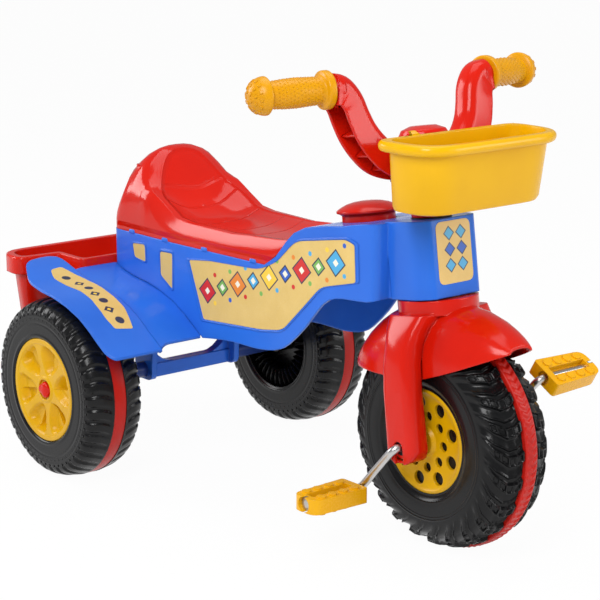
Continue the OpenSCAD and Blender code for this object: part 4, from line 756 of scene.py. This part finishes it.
def padRow(count, radius, size, place, turn, **more):  # sizes and place in mm: across, along and tall
    across, along, height = (value * mm for value in size)
    return {"Count": count, "Radius": radius * mm, "Across": across, "Along": along, "Height": height,
            "Place": tuple(value * mm for value in place), "Turn": turn, **more}


# two rings of low dots on each shoulder: radius, start, share of the full size, how far in from the side
quarterTurn = math.pi / 2
rearPads = {
    "count": 60, "across": 1.6, "along": 3.4, "tall": 3.2,
    "rings": ((93.4, 0.0, 1.0, 1.6), (87.0, 0.052, 0.8, 1.5)),
}
# vanes standing in the open inner side of each rear wheel
rearVanes = {"count": 36, "radius": 49.0, "long": 27.0, "thick": 3.0, "deep": 24.0, "at": 25.0}
for side in (1, -1):
    spec, rows = rearPads, []
    for outside in (1, -1):
        for radius, start, share, inset in spec["rings"]:
            at = side * (rearTyre["track"] + outside * (rearTyre["half"] - inset))
            size = (spec["across"], spec["along"] * share, spec["tall"] * share)
            rows.append(padRow(spec["count"], radius, size, rearAxle(at), (0.0, quarterTurn, 0.0), Start=start))
    runTree("rear_tyre_pads_" + sideName(side), rows, bodyOf("rear_tyre_outer_" + sideName(side)), "tyreBlack")
for side in (1, -1):
    spec = rearVanes
    place = rearAxle(side * (rearTyre["track"] - spec["at"]))
    size = (spec["deep"], spec["thick"], spec["long"])
    row = padRow(spec["count"], spec["radius"], size, place, (0.0, quarterTurn, 0.0))
    runTree("rear_tyre_vanes_" + sideName(side), [row], bodyOf("rear_tyre_inner_" + sideName(side)), "tyreBlack")
print("tyre pads made")

# low clips where the seat snaps on the body: four to a side
seatClips = {"places": (256, 344, 420, 489), "line": 285.0, "tall": 6.0, "long": 13.0, "thick": 3.6, "sunk": 0.6}


def wallHalf(y): return 60.0 + 14.0 * min(1.0, max(0.0, (y - 55.0) / 345.0))


def buildClips(spec):
    size = (spec["tall"], spec["long"], spec["thick"])
    rows = [padRow(1, 0.0, size, (side * (wallHalf(y) - spec["sunk"]), y - midY, spec["line"]), (0.0, 0.0, 0.0))
            for side in (1, -1) for y in spec["places"]]
    runTree("seat_clips", rows, bodyOf("body_shell"), "bluePlastic")


buildClips(seatClips)

# grips: a barrel between flange and ball, with rings of small bumps along it and on the ball
grip = {
    "middle": (112.0, 18.6, 383.8), "rake": 8.0, "sweep": 12.5, "flange": 20.5, "ball": (75.0, 20.2), "dome": 18.9,
    "tube": ((11, 15.6), (15, 14.6), (24, 14.9), (40, 15.7), (54, 15.3), (64, 14.4)),
    "rings": 13, "first": 15.5, "step": 4.1, "around": 22, "bump": (1.8, 1.8, 0.9),
    "dots": ((17, 5), (36, 9), (55, 13)), "dot": (4.2, 4.2, 2.0),
}


def barrelAt(spec, along): return float(np.interp(along, *zip(*spec["tube"])))


def plainRelief(outer, angles): return np.zeros((len(outer), len(angles)))


def buildGrip(spec, side):
    node = "grip_" + sideName(side)
    lean = Matrix.Rotation(math.radians(-spec["rake"]), 4, "X")
    turn = lean @ Matrix.Rotation(math.radians(side * spec["sweep"]), 4, "Z")
    turn = turn @ Matrix.Rotation(math.radians(0 if side > 0 else 180), 4, "Z")
    a, b, c = spec["middle"]
    root = lean @ Vector((side * a, b, c)) + Vector(frontAxle)
    pose = Matrix.Translation(root) @ turn
    edge, (middle, ballRadius) = spec["flange"], spec["ball"]
    outer = [
        [10.8, 0.6], [edge - 1.8, 0.6], [edge - 0.5, 1.2], [edge, 2.6], [edge, 7.6], [edge - 0.5, 9.0],
        [edge - 1.8, 9.8], [17.0, 10.2]]
    outer += [[barrelAt(spec, t), t] for t in np.linspace(11.4, 70, 24)]
    for t in np.linspace(-45, 89.9, 26):
        rise = spec["dome"] * math.sin(math.radians(t)) * (1 if t > 0 else 0.25)
        outer.append([ballRadius * math.cos(math.radians(t)), middle + rise])
    inner = [[0.02, middle], [10.8, middle]]
    turned(node, resampled(outer, 0.6), inner, 96, plainRelief, (0, 0, 0), 1, "amberPlastic", pose)
    # the pads stand on rings about their own z, so the ring's z is laid along the grip
    along = pose.to_3x3() @ Vector((1, 0, 0))
    face = tuple((turn @ Matrix.Rotation(quarterTurn, 4, "Y")).to_euler())
    rows = []
    for k in range(spec["rings"]):
        out = spec["first"] + spec["step"] * k
        place = root + along * out
        rows.append(padRow(spec["around"], barrelAt(spec, out), spec["bump"], place, face, Start=0.143 * (k % 2)))
    for polar, count in spec["dots"]:
        tilt = math.radians(polar)
        place = root + along * (middle + spec["dome"] * math.cos(tilt))
        rows.append(padRow(count, ballRadius * math.sin(tilt), spec["dot"], place, face,
                           Lean=tilt - quarterTurn, Start=0.2 * polar))
    runTree("grip_bumps_" + sideName(side), rows, bodyOf(node), "amberPlastic")


for side in (1, -1):
    buildGrip(grip, side)
print("clips and grip bumps made")

# handlebar: the arms are swept as a channel open on the outside, with plates across it; the middle stays as drawn
bar = {
    "half": ((112, 86), (101, 83), (92, 71), (87, 54), (81, 38), (71, 23), (58, 11), (40, 4), (20, 1), (0, 0)),
    "low": 297.8, "ahead": 6.0, "slope": 0.147, "rake": 8.0, "thick": 30.8, "wide": (37.6, 33.6), "round": 12.0,
    "wall": 3.4, "web": 5.0, "plates": (0.36, 0.5, 0.63), "plateHalf": 0.9, "middle": 36.9,
    "collar": 14.2, "collarAt": (-13, -12, 0.5), "collarEdge": 11, "collarColumns": 40,
}


def barSection(spec, wide, deep):
    k, q, r = wide / 2, spec["thick"] / 2, spec["round"]
    turns = np.linspace(0, math.pi / 2, 9)
    outer = [[k, -q]] + [[-k + r - r * math.sin(t), -q + r - r * math.cos(t)] for t in turns]
    outer += [[-k + r - r * math.cos(t), q - r + r * math.sin(t)] for t in turns] + [[k, q]]
    low, floor = q - spec["wall"], k - deep * (wide - spec["web"])
    inside = [[k, low], [floor + 3, low - 0.8], [floor, low - 4], [floor, 4 - low], [floor + 3, 0.8 - low], [k, -low]]
    return np.array(outer + inside)


def twoEach(a, b, c, d):  # two triangles for every four-sided face
    return [np.stack([a, b, c], -1).reshape(-1, 3), np.stack([a, c, d], -1).reshape(-1, 3)]


def buildBar(spec):
    half = np.array(spec["half"], float)
    line = curved(np.vstack([half, [[-x, up] for x, up in half[-2::-1]]]), 2.5)
    count = len(line)
    ahead = np.gradient(line, axis=0)
    ahead /= np.linalg.norm(ahead, axis=1)[:, None]

    # points given across the arm, front to back and along it, at a place on the arm's middle line
    def laid(at, across, back, along=0.0):
        (x, up), (goX, goUp) = line[at], ahead[at]
        return np.stack(np.broadcast_arrays(
            x + goX * along - goUp * across, spec["ahead"] + up * spec["slope"] + back,
            spec["low"] + up + goUp * along + goX * across), -1)

    rows = []
    for at in range(count):
        x, up = line[at]
        deep = max(0.02, float(ease(84, 66, up) * ease(24, 34, abs(x))))
        ring = barSection(spec, np.interp(up, [0, 80], spec["wide"]), deep)
        rows.append(laid(at, ring[:, 0], ring[:, 1]))
    size = len(rows[0])
    points = [np.vstack(rows)]
    index = np.arange(count * size).reshape(count, size)
    faces = twoEach(index[:-1], np.roll(index[:-1], -1, 1), np.roll(index[1:], -1, 1), index[1:])
    # both ends are closed from the first outer point round to the last
    for ring, way in ((index[0], 1), (index[-1], -1)):
        faces.append(np.array([[ring[0], ring[k + 1], ring[k]][::way] for k in range(1, size - 1)]))
    # plates across the channel
    total = count * size
    k, q = spec["wide"][1] / 2, spec["thick"] / 2 - 2
    plate = np.array([(k - 2.5, -q), (k - 2.5, q), (-k + 2, q - 8), (-k + 2, 8 - q)])
    quads = np.array([[0, 3, 2, 1], [7, 4, 5, 6], [0, 1, 5, 4], [1, 2, 6, 5], [2, 3, 7, 6], [3, 0, 4, 7]])
    for side in (1, -1):
        for share in spec["plates"]:
            at = int((count - 1) / 2 * (1 - side) + side * share * (count - 1) / 2)
            for reach in (-spec["plateHalf"], spec["plateHalf"]):
                points.append(laid(at, plate[:, 0], plate[:, 1], reach))
            faces += twoEach(*(quads + total).T)
            total += 8
    # round collars that the grips butt against
    columns = spec["collarColumns"]
    angles = np.arange(columns) * 2 * math.pi / columns
    x, y, z = grip["middle"]
    for side in (1, -1):
        place = np.array(Matrix.Rotation(math.radians(side * grip["sweep"]), 3, "Z"))
        for out, radius in zip(spec["collarAt"], (spec["collarEdge"], spec["collar"], spec["collar"])):
            ring = np.stack([np.full(columns, side * out), radius * np.cos(angles), radius * np.sin(angles)], 1)
            points.append(ring @ place.T + np.array([side * x, y, z]))
        for first in (total, total + columns):
            near = np.arange(columns) + first
            far = near + columns
            quad = np.stack([near, np.roll(near, -1), np.roll(far, -1), far], 1)[:, ::side]
            faces += twoEach(*quad.T)
        total += 3 * columns
    lean = np.array(Matrix.Rotation(math.radians(-spec["rake"]), 3, "X"))
    own = np.vstack(points) @ lean.T + np.array(frontAxle)
    kept, triangles = mergedNode("handlebar")
    middle = kept[triangles].mean(1)
    triangles = triangles[np.abs(middle[:, 0]) < spec["middle"] * mm]
    used, back = np.unique(triangles, return_inverse=True)
    allFaces = np.vstack([back.reshape(-1, 3), np.vstack(faces) + len(used)])
    standIn("handlebar", np.vstack([kept[used], own * mm]), allFaces, "redPlastic", 38)


buildBar(bar)
print("handlebar made")

# the basket's rim gets a rolled edge, laid along the rim's own outline
rimRoll = {"top": 456.0, "deep": 11.2, "wide": 4.6, "lip": 2.7, "points": 220, "around": 22}


def buildBasket(spec):
    points, triangles = mergedNode("basket")
    top, half, wide = spec["top"] * mm, spec["deep"] / 2 * mm, spec["wide"] * mm
    widest = np.abs(points[:, 2] - (top - 2 * mm)) < 0.4 * mm
    outline = points[widest][:, :2]
    outline = outline[convex_hull_2d([tuple(p) for p in outline])]
    closed = np.vstack([outline, outline[:1]])
    # the lip's flat side is pulled in under the roll
    edge, along = closed[:-1], np.diff(closed, axis=0)
    away = points[:, None, :2] - edge[None]
    t = np.clip((away * along[None]).sum(2) / (along ** 2).sum(1)[None], 0, 1)
    gap = np.linalg.norm(away - t[..., None] * along[None], axis=2).min(1)
    middle = (outline.min(0) + outline.max(0)) / 2
    inward = middle - points[:, :2]
    inward /= np.linalg.norm(inward, axis=1)[:, None]
    lip = (np.abs(points[:, 2] - (top - half)) < half + 0.2 * mm) & (gap < spec["lip"] * mm)
    points[lip, :2] += inward[lip] * wide
    line = resampled(closed, np.linalg.norm(along, axis=1).sum() / spec["points"])[:-1]
    ahead = np.roll(line, -1, 0) - np.roll(line, 1, 0)
    ahead /= np.linalg.norm(ahead, axis=1)[:, None]
    out = np.stack([ahead[:, 1], -ahead[:, 0]], 1)
    if ((line - middle) * out).sum() < 0:
        out = -out
    count, size = len(line), spec["around"]
    angles = np.arange(size) * 2 * math.pi / size
    ring = line[:, None, :] + out[:, None, :] * (wide * np.cos(angles) - wide)[None, :, None]
    height = np.broadcast_to(top - half + half * np.sin(angles), ring.shape[:2])
    roll = np.concatenate([ring, height[..., None]], 2).reshape(-1, 3)
    index = np.arange(count * size).reshape(count, size)
    beside, nextRow = np.roll(index, -1, 1), np.roll(index, -1, 0)
    faces = np.vstack(twoEach(index, beside, np.roll(beside, -1, 0), nextRow))
    # the roll's faces point away from its own middle line
    first, second, third = (roll[faces[:, k]] for k in range(3))
    centre = np.repeat(line - out * wide, size, axis=0)
    if ((first[:, :2] - centre[faces[:, 0]]) * np.cross(second - first, third - first)[:, :2]).sum() < 0:
        faces = faces[:, ::-1]
    allFaces = np.vstack([triangles, faces + len(points)])
    standIn("basket", np.vstack([points, roll]), allFaces, "yellowPlastic", 36)


buildBasket(rimRoll)
print("basket made")

# moulded parts that keep their drawn shape: look, and the angle past which an edge stays sharp
dressing = {
    "body_shell": ("bluePlastic", 32), "seat": ("seatPlastic", 40),
    "rear_bin": ("redPlastic", 36), "fork": ("redPlastic", 40),
    "front_disc_left": ("wheelYellow", 34), "front_disc_right": ("wheelYellow", 34),
    "rear_band_left": ("bandPlastic", 34), "rear_band_right": ("bandPlastic", 34),
    "pedal_left": ("pedalYellow", 34), "pedal_right": ("pedalYellow", 34),
    "crank": ("rodSteel", 40), "horn_button": ("redPlastic", 40),
}
for node, (look, sharp) in dressing.items():
    standIn(node, *mergedNode(node), look, sharp)
print("moulded parts dressed")

# nodes that stay as they are, by look
plainNodes = {
    "zincSteel": ("rear_axle", "axle_washers", "push_nuts", "seat_screws", "bin_screws", "steering_tube",
                  "stem_bolt", "basket_screws", "tube_screw", "pedal_nuts"),
    # the spacers take the blue with painted shade, darkened for the shade under the body
    "bushPlastic": ("head_bushes", "crank_bushes", "horn_guide"), "darkBlue": ("axle_spacers",),
    "sideLabel": ("side_stickers",), "plainLabel": ("window_stickers",), "fenderLabel": ("fender_stickers",),
    "headLabel": ("head_sticker",),
}
for look, nodes in plainNodes.items():
    for node in nodes:
        mesh = frame["nodes"][node].data
        if not mesh.materials:
            mesh.materials.append(looks[look])
        for k in range(len(mesh.materials)):
            mesh.materials[k] = looks[look]
print("plain nodes painted")

# floor, light and camera
studio = {
    "floor": (0.86, 0.86, 0.86), "reach": 14, "shown": 0.965, "world": 0.36, "tint": (0.98, 0.99, 1, 1),
    "aim": (0, 0, 0.22),
    "lamps": {  # place, size and watts
        "key": ((-1.5, -1.1, 1.75), (0.9, 1.2), 37.0), "fill": ((1.3, -2.0, 0.9), (1.2, 1.0), 20.0),
        "rim": ((-1.1, 1.7, 1.1), (0.8, 1.1), 18.0), "top": ((0.2, 0.1, 2.2), (1.4, 1.4), 14.0)},
    "lens": 112.45, "sensor": 36, "clip": (0.05, 60), "eye": (-1.3762, -1.6513, 0.7364), "down": 13.3, "turn": -39.9,
}


def buildStudio(spec):
    mesh = bpy.data.meshes.new("floor")
    far = spec["reach"]
    mesh.from_pydata([(-far, -far, 0), (far, -far, 0), (far, far, 0), (-far, far, 0)], [], [(0, 1, 2, 3)])
    floor = bpy.data.objects.new("floor", mesh)
    bpy.context.scene.collection.objects.link(floor)
    paint = Paint("paleFloor")
    speck = paint.noise(40.0, 3.0, 0.5)
    tone = paint.mix(speck, tuple(c * 0.985 for c in spec["floor"]), spec["floor"])
    matt = paint.node("ShaderNodeBsdfPrincipled", {}, {"Base Color": tone, "Roughness": 0.9, "Specular IOR Level": 0.1})
    glow = paint.node("ShaderNodeEmission", {}, {"Color": (1, 1, 1), "Strength": 1.0})
    rays = paint.node("ShaderNodeLightPath")
    seen = paint.wire(rays, "Is Camera Ray")
    for kind in ("Is Glossy Ray", "Is Transmission Ray"):
        seen = paint.maths("MAXIMUM", seen, paint.wire(rays, kind))
    both = paint.node("ShaderNodeMixShader", {}, {0: seen * spec["shown"]})
    paint.tree.links.new(matt.outputs[0], both.inputs[1])
    paint.tree.links.new(glow.outputs[0], both.inputs[2])
    out = paint.node("ShaderNodeOutputMaterial")
    paint.tree.links.new(both.outputs[0], out.inputs[0])
    mesh.materials.append(paint.material)

    world = bpy.data.worlds.new("studio")
    bpy.context.scene.world = world
    world.use_nodes = True
    tree = world.node_tree
    tree.nodes.clear()
    rays = tree.nodes.new("ShaderNodeLightPath")
    shown = tree.nodes.new("ShaderNodeBackground")
    shown.inputs[0].default_value = (1, 1, 1, 1)
    light = tree.nodes.new("ShaderNodeBackground")
    light.inputs[0].default_value = spec["tint"]
    light.inputs[1].default_value = spec["world"]
    both = tree.nodes.new("ShaderNodeMixShader")
    tree.links.new(rays.outputs["Is Camera Ray"], both.inputs[0])
    tree.links.new(light.outputs[0], both.inputs[1])
    tree.links.new(shown.outputs[0], both.inputs[2])
    tree.links.new(both.outputs[0], tree.nodes.new("ShaderNodeOutputWorld").inputs[0])

    for name, (place, size, power) in spec["lamps"].items():
        lamp = bpy.data.lights.new(name, "AREA")
        lamp.shape = "RECTANGLE"
        lamp.size, lamp.size_y = size
        lamp.energy = power
        holder = bpy.data.objects.new(name, lamp)
        holder.location = place
        holder.rotation_euler = (Vector(spec["aim"]) - Vector(place)).to_track_quat("-Z", "Y").to_euler()
        bpy.context.scene.collection.objects.link(holder)


def buildCamera(spec):
    lens = bpy.data.cameras.new("view")
    lens.lens, lens.sensor_width = spec["lens"], spec["sensor"]
    lens.clip_start, lens.clip_end = spec["clip"]
    camera = bpy.data.objects.new("view", lens)
    camera.location = spec["eye"]
    camera.rotation_euler = (math.radians(90 - spec["down"]), 0, math.radians(spec["turn"]))
    bpy.context.scene.collection.objects.link(camera)
    bpy.context.scene.camera = camera


buildStudio(studio)
buildCamera(studio)
view = bpy.context.scene.view_settings
view.view_transform = "Standard"
print("studio made")
